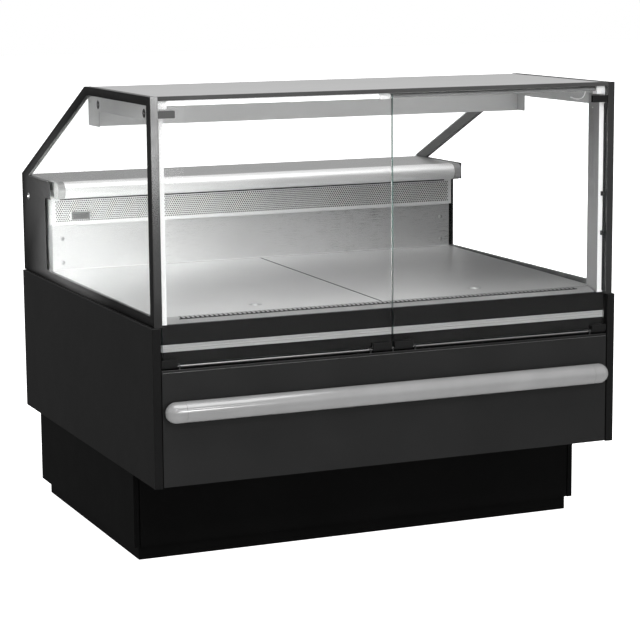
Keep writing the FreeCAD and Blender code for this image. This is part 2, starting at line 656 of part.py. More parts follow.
def make_rear():
    """The stainless wall behind the deck, the air outlet above it, the rounded nose and
    the worktop on the staff side."""
    finish("rear_wall_panel", pan(("-wall_half", "wall_half"), ("wall_face", "wall_face + wall_fold"),
                                  ("wall_low", "wall_top"), "+y"))
    make_outlet()
    finish("thermometer", box(("display_left", "display_left + display_wide"),
                              ("outlet_face - display_deep", "outlet_face"),
                              ("display_low", "display_low + display_high")))

    rail = round_front(("-nose_half", "nose_half"), "nose_middle", "nose_high",
                       "nose_radius", "nose_rear")
    channel = round_front(("-nose_half - 1", "nose_half + 1"), "nose_middle", "nose_high",
                          "nose_bore", "nose_rear - 3")
    finish("nose_rail", cut(rail, [channel]))
    caps = [round_front(x, "nose_middle", "nose_high", "cap_radius", "nose_rear")
            for x in mirrored("nose_half + 0.2", "cap_outer")]
    finish("nose_end_caps", group(caps))

    finish("worktop", pan(("-worktop_half", "worktop_half"), ("worktop_front", "worktop_rear"),
                          ("worktop_low", "worktop_top"), "-z"))


# ---------------------------------------------------------------- staff side

def make_rocker(label, x):
    """A rocker switch, tipped to its off position, with a bore for its pivot pin."""
    outline = [("-4", "-6"), ("3", "-rocker_tall"), ("9", "-rocker_tall"), ("7", "0"),
               ("9", "rocker_tall"), ("3", "rocker_tall"), ("-4", "6")]
    placed = [(f"rocker_axis + ({y}) * cos(rocker_tilt) - ({z}) * sin(rocker_tilt)",
               f"control_high + ({y}) * sin(rocker_tilt) + ({z}) * cos(rocker_tilt)")
              for y, z in outline]
    rocker = extrusion((f"{x} - rocker_half", f"{x} + rocker_half"), [placed])
    bore = rod("x", f"{x} - rocker_half - 1", "rocker_axis", "control_high", "rocker_bore",
               "2 * rocker_half + 2")
    finish(label, cut(rocker, [bore]))


def make_back():
    """The staff-side panel with its controller and switches."""
    panel = pan(("-back_half", "back_half"), ("back_face - back_fold", "back_face"),
                ("back_low", "back_top"), "-y")
    wide_y = ("back_face - skin - 1", "back_face + 1")
    openings = [box(("controller_across - cutout_half", "controller_across + cutout_half"),
                    wide_y, ("control_high - cutout_tall", "control_high + cutout_tall"))]
    housings = []
    slot_z = ("control_high - rocker_slot_tall", "control_high + rocker_slot_tall")
    for label, x in (("light_switch", "light_across"), ("mains_switch", "mains_across")):
        slot_x = (f"{x} - rocker_slot", f"{x} + rocker_slot")
        openings.append(box(slot_x, wide_y, slot_z))
        make_rocker(label, x)
        frame_y = ("back_face - skin - housing_deep", "back_face - skin - 0.1")
        frame = cut(
            box((f"{slot_x[0]} - housing_wall", f"{slot_x[1]} + housing_wall"), frame_y,
                (f"{slot_z[0]} - housing_wall", f"{slot_z[1]} + housing_wall")),
            [box(slot_x, ("back_face - skin - housing_deep - 1", "back_face"), slot_z)])
        pin = rod("x", f"{slot_x[0]} - 1", "rocker_axis", "control_high", "rocker_pin",
                  "2 * rocker_slot + 2")
        housings.append(join([frame, pin]))
    finish("rear_body_panel", cut(panel, openings))
    finish("switch_housings", group(housings))

    bezel = box(("controller_across - controller_half", "controller_across + controller_half"),
                ("back_face", "back_face + controller_bezel"),
                ("control_high - controller_tall", "control_high + controller_tall"))
    case = box(("controller_across - cutout_half + 0.3", "controller_across + cutout_half - 0.3"),
               ("back_face - controller_deep", "back_face + 1"),
               ("control_high - cutout_tall + 0.3", "control_high + cutout_tall - 0.3"))
    wells = []
    for number, label in enumerate(("down_button", "up_button", "set_button")):
        x = f"controller_across + button_first - {number} * button_step"
        wells.append(rod("y", x, "back_face - button_well", "control_high - button_drop",
                         "button_radius + button_slack", "button_well + 10"))
        finish(label, rod("y", x, "back_face - button_well + 2", "control_high - button_drop",
                          "button_radius", "button_long"))
    finish("temperature_controller", cut(join([bezel, case]), wells))


# ---------------------------------------------------------------- glazed ends and top

def make_ends():
    """Double-glazed ends with a black border, and the black trim on their front edges."""
    outer_line = [("pane_front", "pane_low"), ("pane_front", "pane_top"),
                  ("crest_rear", "pane_top"), ("rear_edge", "shoulder_high"),
                  ("rear_edge", "pane_low")]
    slant = "(rear_edge - crest_rear) / (pane_top - shoulder_high)"
    inner_line = [
        ("pane_front + border_front", "pane_low + border_low"),
        ("pane_front + border_front", "pane_top - border_top"),
        (f"crest_rear - (slant_drop - border_top) * {slant}", "pane_top - border_top"),
        (f"crest_rear + (pane_top - slant_drop - worktop_top) * {slant}", "worktop_top"),
        ("border_rear", "worktop_top"), ("border_rear", "border_step_high"),
        ("border_step", "border_step_high"), ("border_step", "pane_low + border_low")]
    outer_span = mirrored("pane_outer - pane_thick", "pane_outer")
    inner_span = mirrored("pane_inner", "pane_inner + pane_thick")
    between = mirrored("pane_inner + pane_thick + seal_slack",
                       "pane_outer - pane_thick - seal_slack")
    finish("side_panes", group([extrusion(x, [outer_line]) for x in outer_span + inner_span]))
    finish("side_glass_borders", group([extrusion(x, [outer_line, inner_line])
                                        for x in between]))
    trims = [box(x, ("trim_front", "trim_rear"), ("pane_low", "band_high"))
             for x in mirrored("pane_inner - 0.7", "pane_outer + 1")]
    finish("front_edge_trims", group(trims))


def make_top():
    """Corner posts, side brackets, the roof panel with its front band, and the canopy
    channel along its rear edge."""
    posts = []
    brackets = []
    inward = (("post_inner - 1", "post_inner + post_wall + 1"),)
    for x, hole_x in zip(mirrored("post_inner", "post_outer"), mirrored(*inward[0])):
        tube = cut(box(x, ("post_front", "post_rear"), ("post_low", "post_top")),
                   [box((f"{x[0]} + post_wall", f"{x[1]} - post_wall"),
                        ("post_front + post_wall", "post_rear - post_wall"),
                        ("post_low - 1", "post_top + 1"))])
        hole = rod("x", hole_x[0], "post_hole_deep", "post_hole_high", "post_hole",
                   f"({hole_x[1]}) - ({hole_x[0]})")
        posts.append(cut(tube, [hole]))
    for x in mirrored("bracket_inner", "bracket_outer"):
        brackets.append(extrusion(x, [[
            ("bracket_front", "bracket_low"), ("bracket_tab", "bracket_low"),
            ("bracket_tab", "bracket_tab_low"), ("bracket_rear", "bracket_tab_low"),
            ("bracket_rear", "bracket_top"), ("bracket_front", "bracket_top")]]))
    finish("corner_posts", group(posts))
    finish("roof_brackets", group(brackets))

    finish("roof_panel", box(("-top_half", "top_half"), ("top_front", "top_rear"),
                             ("top_low", "top_high")))
    finish("roof_front_band", extrusion(("-top_half", "top_half"), [[
        ("trim_front", "band_low"), ("flange_rear", "band_low"), ("flange_rear", "flange_top"),
        ("band_deep", "flange_top"), ("band_deep", "band_high"), ("trim_front", "band_high")]]))
    finish("canopy_channel", pan(("-canopy_half", "canopy_half"), ("canopy_front", "canopy_rear"),
                                 ("canopy_low", "canopy_top"), "+z"))


def make_lamp():
    """Two lamp tubes in line along the roof's front edge, their holders and the lead."""
    tubes = []
    for low, high in (("-holder_inner + 0.5", "holder_mid_left - 0.5"),
                      ("holder_mid_right + 0.5", "holder_inner - 0.5")):
        tubes.append(rod("x", low, "lamp_deep", "lamp_high", "lamp_radius",
                         f"({high}) - ({low})"))
    finish("lamp_tubes", group(tubes))
    holders = [box(x, ("holder_front", "holder_rear"), ("holder_low", "holder_top"))
               for x in mirrored("holder_inner", "holder_outer")]
    holders.append(box(("holder_mid_left", "holder_mid_right"), ("holder_front", "holder_rear"),
                       ("holder_mid_low", "holder_top")))
    finish("lamp_holders", group(holders))

    # The lead leaves the right holder to the rear, drops and runs back along the bracket.
    high = size("lamp_high")
    start = FreeCAD.Vector(size("holder_inner") + 4, size("holder_rear"), high)
    route = [start, start + FreeCAD.Vector(0, 40, 0), start + FreeCAD.Vector(0, 52, -26),
             start + FreeCAD.Vector(0, 84, -34), start + FreeCAD.Vector(0, 124, -30)]
    edges = []
    here = route[0]
    for number in range(1, len(route) - 1):
        before = (route[number] - route[number - 1])
        after = (route[number + 1] - route[number])
        half_turn = before.getAngle(after) / 2
        radius = 0.45 * min(before.Length, after.Length) / math.tan(half_turn)
        print("lamp_lead bend radius", round(radius, 1))
        reach = radius * math.tan(half_turn)
        into = before.normalize()
        out = after.normalize()
        enter = route[number] - into * reach
        leave = route[number] + out * reach
        inward = (out - into).normalize()
        centre = route[number] + inward * (radius / math.cos(half_turn))
        edges.append(Part.LineSegment(here, enter).toShape())
        edges.append(Part.Arc(enter, centre - inward * radius, leave).toShape())
        here = leave
    edges.append(Part.LineSegment(here, route[-1]).toShape())
    path = Part.Wire(edges)
    section = Part.Wire([Part.makeCircle(size("lead_radius"), start, FreeCAD.Vector(0, 1, 0))])
    lead = doc.addObject("Part::Feature", "Lead")
    lead.Shape = path.makePipeShell([section], True, False)
    print("lamp_lead volume over section times length",
          round(lead.Shape.Volume / (math.pi * size("lead_radius") ** 2 * path.Length), 4))
    finish("lamp_lead", lead)


def make_screws():
    """Round heads on the rear wall and on the roof brackets."""
    heads = []
    for x in ("-wall_screw_across", "wall_screw_across"):
        for z in ("wall_screw_low", "wall_screw_top"):
            heads.append(rod("y", x, "wall_face - screw_high", z, "screw_radius", "screw_high"))
    for low, high in mirrored("bracket_inner - screw_high", "bracket_inner"):
        for y in ("bracket_screw_front", "bracket_screw_rear"):
            heads.append(rod("x", low, y, "bracket_screw_high", "screw_radius", "screw_high"))
    finish("screws", group(heads))


make_base()
make_cooling()
make_body()
make_bumper()
make_front_glass()
make_grille()
make_decks()
make_rear()
make_back()
make_ends()
make_top()
make_lamp()
make_screws()
doc.recompute()

for obj in doc.Objects:
    if "Invalid" in obj.State or "Error" in obj.State:
        raise RuntimeError(f"{obj.Name} ({obj.Label}) failed: {obj.State}")
for sub_part in sub_parts:
    if sub_part.Shape.isNull() or not sub_part.Shape.isValid():
        raise RuntimeError(f"{sub_part.Label} has no valid shape")

os.makedirs("parts", exist_ok=True)
for sub_part in sub_parts:
    sub_part.Shape.exportStep(f"parts/{sub_part.Label}.step")

bounds = FreeCAD.BoundBox()
for sub_part in sub_parts:
    bounds.add(sub_part.Shape.BoundBox)
print(len(sub_parts), "sub-parts", bounds)
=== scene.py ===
import bmesh
import bpy
import math
from mathutils import Matrix, Vector


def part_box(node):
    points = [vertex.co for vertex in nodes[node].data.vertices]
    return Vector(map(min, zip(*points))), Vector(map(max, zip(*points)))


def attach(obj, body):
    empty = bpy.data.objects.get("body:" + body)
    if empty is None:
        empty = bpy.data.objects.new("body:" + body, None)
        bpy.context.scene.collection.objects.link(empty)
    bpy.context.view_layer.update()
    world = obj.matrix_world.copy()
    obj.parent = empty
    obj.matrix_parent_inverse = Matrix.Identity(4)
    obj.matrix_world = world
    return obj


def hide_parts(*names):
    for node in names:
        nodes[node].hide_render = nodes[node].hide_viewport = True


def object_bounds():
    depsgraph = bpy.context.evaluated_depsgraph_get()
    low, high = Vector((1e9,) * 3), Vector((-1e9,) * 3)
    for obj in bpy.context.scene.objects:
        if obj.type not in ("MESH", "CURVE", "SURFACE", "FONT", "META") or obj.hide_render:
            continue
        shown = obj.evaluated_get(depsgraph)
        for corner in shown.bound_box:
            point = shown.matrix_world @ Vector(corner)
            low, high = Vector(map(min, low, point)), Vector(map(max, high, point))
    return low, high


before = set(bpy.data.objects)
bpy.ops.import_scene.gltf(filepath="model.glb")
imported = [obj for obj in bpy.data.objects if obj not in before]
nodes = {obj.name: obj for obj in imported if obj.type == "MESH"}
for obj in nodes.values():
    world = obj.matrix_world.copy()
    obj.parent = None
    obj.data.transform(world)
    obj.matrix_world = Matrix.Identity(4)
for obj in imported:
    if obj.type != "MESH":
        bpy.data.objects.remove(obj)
cad_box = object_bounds()
scene = bpy.context.scene
MM = 0.001
DECK_SLOPE = math.radians(0.67)     # the decks fall this much towards the front
CAMERA_PLACE = (-2.374, -5.600, 1.551)
CAMERA_AIM = (-23.30, 9.44, -0.441)     # azimuth, elevation and roll in degrees
CAMERA_LENS = 121.48     # mm, on a 36 mm sensor
DARK_SURROUND = 0.12     # how bright floor and horizon are when seen in a reflection


# ---------------------------------------------------------------- camera, light and floor

def aim(azimuth, elevation, roll=0.0):
    """The rotation of something that looks back at the case from an angle, in degrees."""
    a, e, r = (math.radians(v) for v in (azimuth, elevation, roll))
    back = Vector((math.sin(a) * math.cos(e), -math.cos(a) * math.cos(e), math.sin(e)))
    across = Vector((0, 0, 1)).cross(back).normalized()
    over = back.cross(across)
    right = across * math.cos(r) + over * math.sin(r)
    up = over * math.cos(r) - across * math.sin(r)
    return Matrix((right, up, back)).transposed().to_4x4()


def place_camera():
    data = bpy.data.cameras.new("camera")
    data.lens = CAMERA_LENS
    data.sensor_width = 36
    data.clip_end = 100
    camera = bpy.data.objects.new("camera", data)
    camera.matrix_world = Matrix.Translation(CAMERA_PLACE) @ aim(*CAMERA_AIM)
    scene.collection.objects.link(camera)
    scene.camera = camera


def softbox(name, azimuth, elevation, distance, width, height, watts,
            middle=(0, 0, 0.6), spread=180):
    """A rectangular studio light that faces the middle of the case, or another point, which
    the camera doesn't see."""
    data = bpy.data.lights.new(name, "AREA")
    data.shape = "RECTANGLE"
    data.size = width
    data.size_y = height
    data.energy = watts
    data.spread = math.radians(spread)
    light = bpy.data.objects.new(name, data)
    light.visible_camera = False
    turn = aim(azimuth, elevation)
    light.matrix_world = Matrix.Translation(Vector(middle) + turn.col[2].to_3d() * distance) @ turn
    scene.collection.objects.link(light)
    return light


def link_light(light, names, state):
    """Have a light fall on some nodes only, or on all but them."""
    group = bpy.data.collections.new(light.name + "_nodes")
    for name in names:
        group.objects.link(nodes[name])
    for member in group.collection_objects:
        member.light_linking.link_state = state
    light.light_linking.receiver_collection = group


def light_studio():
    """An even pale room, soft lights above and in front, a narrow one that shines in through
    the left pane, and one for the streak along the bumper. Reflections see a darker surround,
    as black cards round a glossy object give in a studio."""
    world = bpy.data.worlds.new("studio")
    world.use_nodes = True
    world.cycles.sampling_method = "NONE"
    tree = world.node_tree
    direction = tree.nodes.new("ShaderNodeTexCoord").outputs["Generated"]
    split = tree.nodes.new("ShaderNodeSeparateXYZ")
    tree.links.new(direction, split.inputs[0])
    ceiling = tree.nodes.new("ShaderNodeMapRange")
    ceiling.interpolation_type = "SMOOTHSTEP"
    tree.links.new(split.outputs["Z"], ceiling.inputs["Value"])
    for key, value in (("From Min", -0.02), ("From Max", 0.35), ("To Min", DARK_SURROUND),
                       ("To Max", 0.85)):
        ceiling.inputs[key].default_value = value
    rays = tree.nodes.new("ShaderNodeLightPath")
    room = mix_numbers(tree, rays.outputs["Is Camera Ray"], 0.55, 1.0)
    glossy = mix_numbers(tree, rays.outputs["Glossy Depth"], room, ceiling.outputs["Result"])
    background = tree.nodes["Background"]
    background.inputs["Color"].default_value = (1, 1, 1, 1)
    tree.links.new(glossy, background.inputs["Strength"])
    scene.world = world
    softbox("top_light", -15, 68, 3.4, 3.0, 2.0, 80)
    softbox("strip_light", -8, 32, 4.6, 3.4, 0.08, 30)
    softbox("edge_card", 5.5, 6.6, 3.46, 0.25, 0.6, 1.9)
    inside = softbox("left_light", -43, 9, 0.9, 0.4, 0.3, 5.0, (-0.60, 0.33, 0.76), spread=46)
    streak = softbox("streak_light", 11, 17, 4.2, 1.2, 0.36, 30, (-0.3, -0.6, 0.44))
    streak.visible_diffuse = False
    link_light(streak, ("bumper_rail", "bumper_end_caps"), "INCLUDE")
    link_light(inside, ("end_panels", "front_edge_trims"), "EXCLUDE")
    scene.view_settings.view_transform = "Standard"


def mix_numbers(tree, share, a, b):
    """A number between a and b, each a plain number or a socket."""
    node = tree.nodes.new("ShaderNodeMix")
    tree.links.new(share, node.inputs["Factor"])
    for key, value in (("A", a), ("B", b)):
        if isinstance(value, bpy.types.NodeSocket):
            tree.links.new(value, node.inputs[key])
        else:
            node.inputs[key].default_value = value
    return node.outputs["Result"]


# ---------------------------------------------------------------- material building

class Shader:
    """A procedural material, built up node by node in the case's own coordinates."""

    def __init__(self, name):
        self.material = bpy.data.materials.new(name)
        self.material.use_nodes = True
        self.tree = self.material.node_tree
        self.tree.nodes.clear()
        self.output = self.node("ShaderNodeOutputMaterial")
        self.coordinates = self.node("ShaderNodeTexCoord")
        self.place = self.coordinates.outputs["Object"]

    def node(self, kind, inputs=None, **settings):
        made = self.tree.nodes.new(kind)
        for key, value in settings.items():
            setattr(made, key, value)
        for key, value in (inputs or {}).items():
            self.feed(made.inputs[key], value)
        return made

    def feed(self, socket, value):
        if isinstance(value, bpy.types.NodeSocket):
            self.tree.links.new(value, socket)
        else:
            socket.default_value = value

    def noise(self, scale, stretch=(1, 1, 1), detail=3.0, roughness=0.5):
        """Noise from 0 to 1, its features about 1/scale metres across."""
        spread = self.node("ShaderNodeMapping", {"Vector": self.place, "Scale": stretch})
        made = self.node("ShaderNodeTexNoise", {
            "Vector": spread.outputs[0], "Scale": scale, "Detail": detail,
            "Roughness": roughness})
        return made.outputs["Fac"]

    def cells(self, scale):
        made = self.node("ShaderNodeTexVoronoi", {"Vector": self.place, "Scale": scale})
        return made.outputs["Color"]

    def spread(self, value, low, high, start=0.3, end=0.7):
        """A value from start to end brought to the range from low to high."""
        made = self.node("ShaderNodeMapRange", {
            "Value": value, "From Min": start, "From Max": end, "To Min": low, "To Max": high})
        return made.outputs["Result"]

    def sum(self, a, b, operation="ADD"):
        return self.node("ShaderNodeMath", {0: a, 1: b}, operation=operation).outputs[0]

    def mix(self, share, a, b):
        made = self.node("ShaderNodeMix", {"Factor": share}, data_type="RGBA")
        self.feed(made.inputs[6], a)
        self.feed(made.inputs[7], b)
        return made.outputs[2]

    def bump(self, height, depth, strength=1.0, under=None):
        made = self.node("ShaderNodeBump", {
            "Height": height, "Distance": depth, "Strength": strength})
        if under is not None:
            self.feed(made.inputs["Normal"], under)
        return made.outputs["Normal"]

    def rubbed_and_highlit_edges(self, radius, amount):
        """How much an edge is rubbed and lit: 1 on sharp edges, broken up by noise. The paler edges it
        gives are partly wear and partly a painted highlight.
        """
        rounded = self.node("ShaderNodeBevel", {"Radius": radius}, samples=4)
        flat = self.node("ShaderNodeNewGeometry").outputs["Normal"]
        facing = self.node("ShaderNodeVectorMath", {0: rounded.outputs[0], 1: flat},
                           operation="DOT_PRODUCT").outputs["Value"]
        edge = self.spread(facing, 1.0, 0.0, 0.75, 0.985)
        broken = self.spread(self.noise(60, detail=5), 0.0, amount, 0.42, 0.68)
        return self.sum(edge, broken, "MULTIPLY")

    def surface(self, **inputs):
        named = {key.replace("_", " "): value for key, value in inputs.items()}
        shader = self.node("ShaderNodeBsdfPrincipled", named)
        self.tree.links.new(shader.outputs[0], self.output.inputs["Surface"])
        return shader


def grey(value, tint=(1, 1, 1)):
    """A grey colour with alpha, tinted or plain."""
    return (value * tint[0], value * tint[1], value * tint[2], 1)


def powder_coat(name, value, rough, edge_rub_and_highlight=0.5, shine=0.5):
    """Powder coat: fine orange peel, faint cloudy sheen, rubbed edges that are partly a painted
    highlight, and a little dust.
    """
    s = Shader(name)
    cloud = s.noise(5, detail=4)
    speck = s.noise(1500, detail=2)
    colour = s.mix(s.spread(cloud, 0, 1), grey(value * 0.85), grey(value * 1.2))
    colour = s.mix(s.spread(speck, 0, 0.25, 0.55, 0.75), colour, grey(value * 2 + 0.01))
    # paler edges: partly wear, partly a painted highlight
    colour = s.mix(s.rubbed_and_highlit_edges(1.2 * MM, edge_rub_and_highlight), colour, grey(value * 1.6 + 0.09))
    roughness = s.spread(s.noise(11, detail=6), rough - 0.02, rough + 0.03)
    peel = s.bump(s.noise(620, detail=1), 0.05 * MM, 0.35)
    s.surface(Base_Color=colour, Roughness=roughness, Normal=peel, Specular_IOR_Level=shine)
    return s.material


def brushed(name, value, rough, along=(1, 60, 60), scratch=0.5, metallic=1.0):
    """Brushed metal: long fine strokes, soft cloudy patches and a few stray scratches."""
    s = Shader(name)
    strokes = s.noise(22, along, detail=6, roughness=0.75)
    fine = s.noise(90, along, detail=3, roughness=0.6)
    cloud = s.noise(4, detail=3)
    tone = s.mix(s.spread(strokes, 0, 1, 0.25, 0.75), grey(value * 0.86), grey(value * 1.08))
    tone = s.mix(s.spread(cloud, 0, 0.35), tone, grey(value * 0.8))
    roughness = s.sum(s.spread(strokes, rough - 0.06, rough + 0.08),
                      s.spread(cloud, -0.03, 0.04))
    lines = s.bump(s.sum(strokes, fine), 0.03 * MM, scratch)
    stray = s.noise(9, (0.6, 14, 14), detail=8, roughness=0.8)
    lines = s.bump(s.spread(stray, 0, 1, 0.66, 0.72), 0.03 * MM, 0.6 * scratch, lines)
    s.surface(Base_Color=tone, Metallic=metallic, Roughness=roughness, Normal=lines)
    return s.material


def anodised(name, value, rough, metallic=0.9):
    """Satin anodised extrusion: fine die lines along its length."""
    s = Shader(name)
    lines = s.noise(40, (0.4, 40, 40), detail=4, roughness=0.7)
    cloud = s.noise(8, detail=3)
    tone = s.mix(s.spread(lines, 0, 1), grey(value * 0.92), grey(value * 1.04))
    # paler edges: partly wear, partly a painted highlight
    tone = s.mix(s.rubbed_and_highlit_edges(0.8 * MM, 0.5), tone, grey(min(1, value * 1.25)))
    s.surface(Base_Color=tone, Metallic=metallic, Normal=s.bump(lines, 0.02 * MM, 0.5),
              Roughness=s.spread(cloud, rough - 0.04, rough + 0.05))
    return s.material


def corner_post(name):
    """Satin aluminium sides; the faces that look to the front are painted white, a painted highlight for
    the light that falls on the front.
    """
    s = Shader(name)
    lines = s.noise(40, (40, 40, 0.4), detail=4, roughness=0.7)
    facing = s.node("ShaderNodeSeparateXYZ", {0: s.coordinates.outputs["Normal"]})
    flat = s.node("ShaderNodeMath", {0: facing.outputs["Y"]}, operation="ABSOLUTE").outputs[0]
    # front-facing faces turn white: a painted highlight, picked by facing direction
    front = s.spread(flat, 0, 1, 0.6, 0.8)
    metal = s.mix(s.spread(lines, 0, 1), grey(0.34), grey(0.39))
    s.surface(Base_Color=s.mix(front, metal, grey(0.74)), Metallic=s.spread(front, 0.85, 0, 0, 1),
              Normal=s.bump(lines, 0.02 * MM, 0.4), Roughness=s.spread(lines, 0.34, 0.44))
    return s.material


def galvanised(name):
    """Zinc sheet with its crystal spangle."""
    s = Shader(name)
    crystals = s.node("ShaderNodeSeparateColor", {0: s.cells(90)}).outputs[0]
    tone = s.mix(crystals, grey(0.38, (0.96, 0.99, 1.0)), grey(0.56, (0.96, 0.99, 1.0)))
    dull = s.spread(s.noise(12, detail=5), 0.0, 0.6)
    tone = s.mix(dull, tone, grey(0.45))
    s.surface(Base_Color=tone, Metallic=0.9, Roughness=s.spread(crystals, 0.34, 0.52, 0, 1),
              Normal=s.bump(crystals, 0.02 * MM, 0.4))
    return s.material


def moulded(name, value, rough, grain=900, depth=0.04, edge_rub_and_highlight=0.35, shine=0.5):
    """Moulded plastic: a fine spark-eroded grain, cloudy sheen and slightly paler edges, partly wear and
    partly painted highlight.
    """
    s = Shader(name)
    colour = s.mix(s.spread(s.noise(9, detail=4), 0, 1), grey(value * 0.93), grey(value * 1.05))
    # paler edges: partly wear, partly a painted highlight
    colour = s.mix(s.rubbed_and_highlit_edges(0.8 * MM, edge_rub_and_highlight), colour, grey(value * 1.2 + 0.03))
    roughness = s.spread(s.noise(30, detail=5), rough - 0.04, rough + 0.06)
    s.surface(Base_Color=colour, Roughness=roughness, Specular_IOR_Level=shine,
              Normal=s.bump(s.noise(grain, detail=2), depth * MM, 0.4))
    return s.material


def window_glass(name, axis, ior):
    """Float glass: clear through its faces, dark green along its ground edges. Lamps shine
    through it. axis is the glass's own thickness."""
    s = Shader(name)
    facing = s.node("ShaderNodeSeparateXYZ", {0: s.coordinates.outputs["Normal"]})
    flat = s.node("ShaderNodeMath", {0: facing.outputs[axis]}, operation="ABSOLUTE").outputs[0]
    face = s.spread(flat, 0, 1, 0.55, 0.75)
    film = s.spread(s.noise(7, (1, 1, 0.4), detail=6), 0.0, 1.0, 0.45, 0.8)
    clear_tone = s.mix(film, (0.996, 0.998, 0.997, 1), (0.988, 0.991, 0.990, 1))
    colour = s.mix(face, (0.006, 0.018, 0.015, 1), clear_tone)
    roughness = s.sum(s.sum(1.0, face, "SUBTRACT"), 0.35, "MULTIPLY")
    shader = s.surface(Base_Color=colour, Roughness=roughness, Transmission_Weight=1.0, IOR=ior)
    clear = s.node("ShaderNodeBsdfTransparent", {"Color": (0.94, 0.945, 0.94, 1)})
    ray = s.node("ShaderNodeLightPath").outputs["Is Shadow Ray"]
    both = s.node("ShaderNodeMixShader", {0: ray, 1: shader.outputs[0], 2: clear.outputs[0]})
    s.feed(s.output.inputs["Surface"], both.outputs[0])
    return s.material


def lamp_skin(name, strength):
    """Diffusing lamp tubes: the left one is lit; the right one is off, and its body is painted dark grey
    as painted shade.
    """
    s = Shader(name)
    speck = s.noise(400, detail=2)
    across = s.node("ShaderNodeSeparateXYZ", {0: s.place}).outputs[0]
    right_tube = s.spread(across, 0, 1, -2 * MM, 2 * MM)
    # the right tube's dark grey body is painted shade
    shader = s.surface(Base_Color=s.mix(right_tube, grey(0.9), grey(0.22)),
                       Roughness=s.spread(speck, 0.25, 0.35),
                       Emission_Color=s.mix(s.spread(speck, 0, 0.2), grey(1.0), grey(0.95)))
    s.feed(shader.inputs["Emission Strength"], s.spread(right_tube, strength, 0.0, 0, 1))
    return s.material


def copper_pipe(name):
    """Copper tube with darker stains."""
    s = Shader(name)
    stain = s.noise(40, detail=6)
    tone = s.mix(s.spread(stain, 0, 1), (0.62, 0.30, 0.17, 1), (0.33, 0.15, 0.09, 1))
    s.surface(Base_Color=tone, Metallic=1.0, Roughness=s.spread(stain, 0.24, 0.48),
              Normal=s.bump(s.noise(300), 0.02 * MM, 0.3))
    return s.material


def glow_digit(name, colour):
    """A lit figure behind a window."""
    s = Shader(name)
    tone = s.mix(s.spread(s.noise(2000), 0, 0.4), colour, grey(0.1))
    shader = s.surface(Base_Color=tone, Roughness=0.4, Emission_Color=tone)
    shader.inputs["Emission Strength"].default_value = 1.6
    return s.material


M = {
    "black": powder_coat("black_coat", 0.012, 0.42),
    # The next three are darker copies of the black coat for the end panels, the upper front panel and
    # the base: painted shade for parts that get less light.
    "black_shaded_side": powder_coat("black_coat_shaded_side", 0.004, 0.50, shine=0.3),
    "black_shaded_upper": powder_coat("black_coat_shaded_upper", 0.008, 0.50, shine=0.2),
    "black_shaded_base": powder_coat("black_coat_shaded_base", 0.002, 0.55, edge_rub_and_highlight=0.2, shine=0.1),
    "band": powder_coat("dark_band", 0.055, 0.34),
    "trim_metal": anodised("dark_anodised", 0.26, 0.20, metallic=1.0),
    "border": moulded("black_border", 0.016, 0.8, depth=0.01, edge_rub_and_highlight=0, shine=0.05),
    "post": corner_post("corner_post"),
    "spacer": moulded("grey_spacer", 0.10, 0.5, depth=0.01),
    "bracket": powder_coat("grey_bracket", 0.44, 0.45, edge_rub_and_highlight=0.2),
    "canopy": brushed("satin_steel_canopy", 0.66, 0.42, scratch=0.2, metallic=0.3),
    "steel": brushed("brushed_steel", 0.60, 0.30, scratch=0.06, metallic=0.75),
    "outlet": brushed("outlet_steel", 0.78, 0.36, scratch=0.1, metallic=0.5),
    "grille": brushed("grille_steel", 0.56, 0.34, scratch=0.2, metallic=0.7),
    "worktop": brushed("worktop_steel", 0.36, 0.34, scratch=0.25, metallic=0.75),
    "deck": brushed("deck_steel", 0.80, 0.34, scratch=0.15, metallic=0.7),
    "roof": brushed("roof_steel", 0.52, 0.44, scratch=0.2),
    "aluminium": anodised("satin_aluminium", 0.78, 0.46, metallic=0.75),
    "strip": anodised("strip_aluminium", 0.42, 0.36, metallic=0.4),
    "dark_metal": anodised("dark_aluminium", 0.10, 0.35, metallic=1.0),
    "zinc": galvanised("galvanised"),
    "turned": brushed("turned_steel", 0.5, 0.3, along=(6, 1, 1)),
    "rod": brushed("dark_rod", 0.36, 0.30, along=(1, 30, 30)),
    "bumper": moulded("grey_bumper", 0.29, 0.10, depth=0.004, shine=0.9),
    "cap": moulded("grey_cap", 0.20, 0.36, depth=0.02),
    "black_plastic": moulded("black_plastic", 0.008, 0.45, shine=0.3),
    "dark_plastic": moulded("dark_grey_plastic", 0.085, 0.45),
    "rubber": moulded("black_rubber", 0.02, 0.7, depth=0.06, shine=0.2),
    "grey_plastic": moulded("grey_plastic", 0.30, 0.42),
    "white_plastic": moulded("white_plastic", 0.86, 0.30, depth=0.015),
    "front_glass": window_glass("front_glass", "Y", 1.15),
    "side_glass": window_glass("side_glass", "X", 1.10),
    "foam": moulded("pale_liner", 0.62, 0.5, grain=300, depth=0.1),
    "fins": brushed("fin_sheet", 0.62, 0.36, along=(1, 1, 20)),
    "pump": powder_coat("pump_black", 0.012, 0.28),
    "lamp": lamp_skin("lamp_skin", 1.1),
    "display": moulded("display_window", 0.006, 0.10, depth=0.003),
    "copper": copper_pipe("copper_pipe"),
    "digit": glow_digit("red_digit", (1.0, 0.06, 0.03, 1)),
    "lcd": moulded("lcd_window", 0.05, 0.3, depth=0.003),
    "lcd_digit": moulded("lcd_digit", 0.02, 0.30, depth=0.003),
    "lcd_case": moulded("lcd_case", 0.10, 0.4),
}

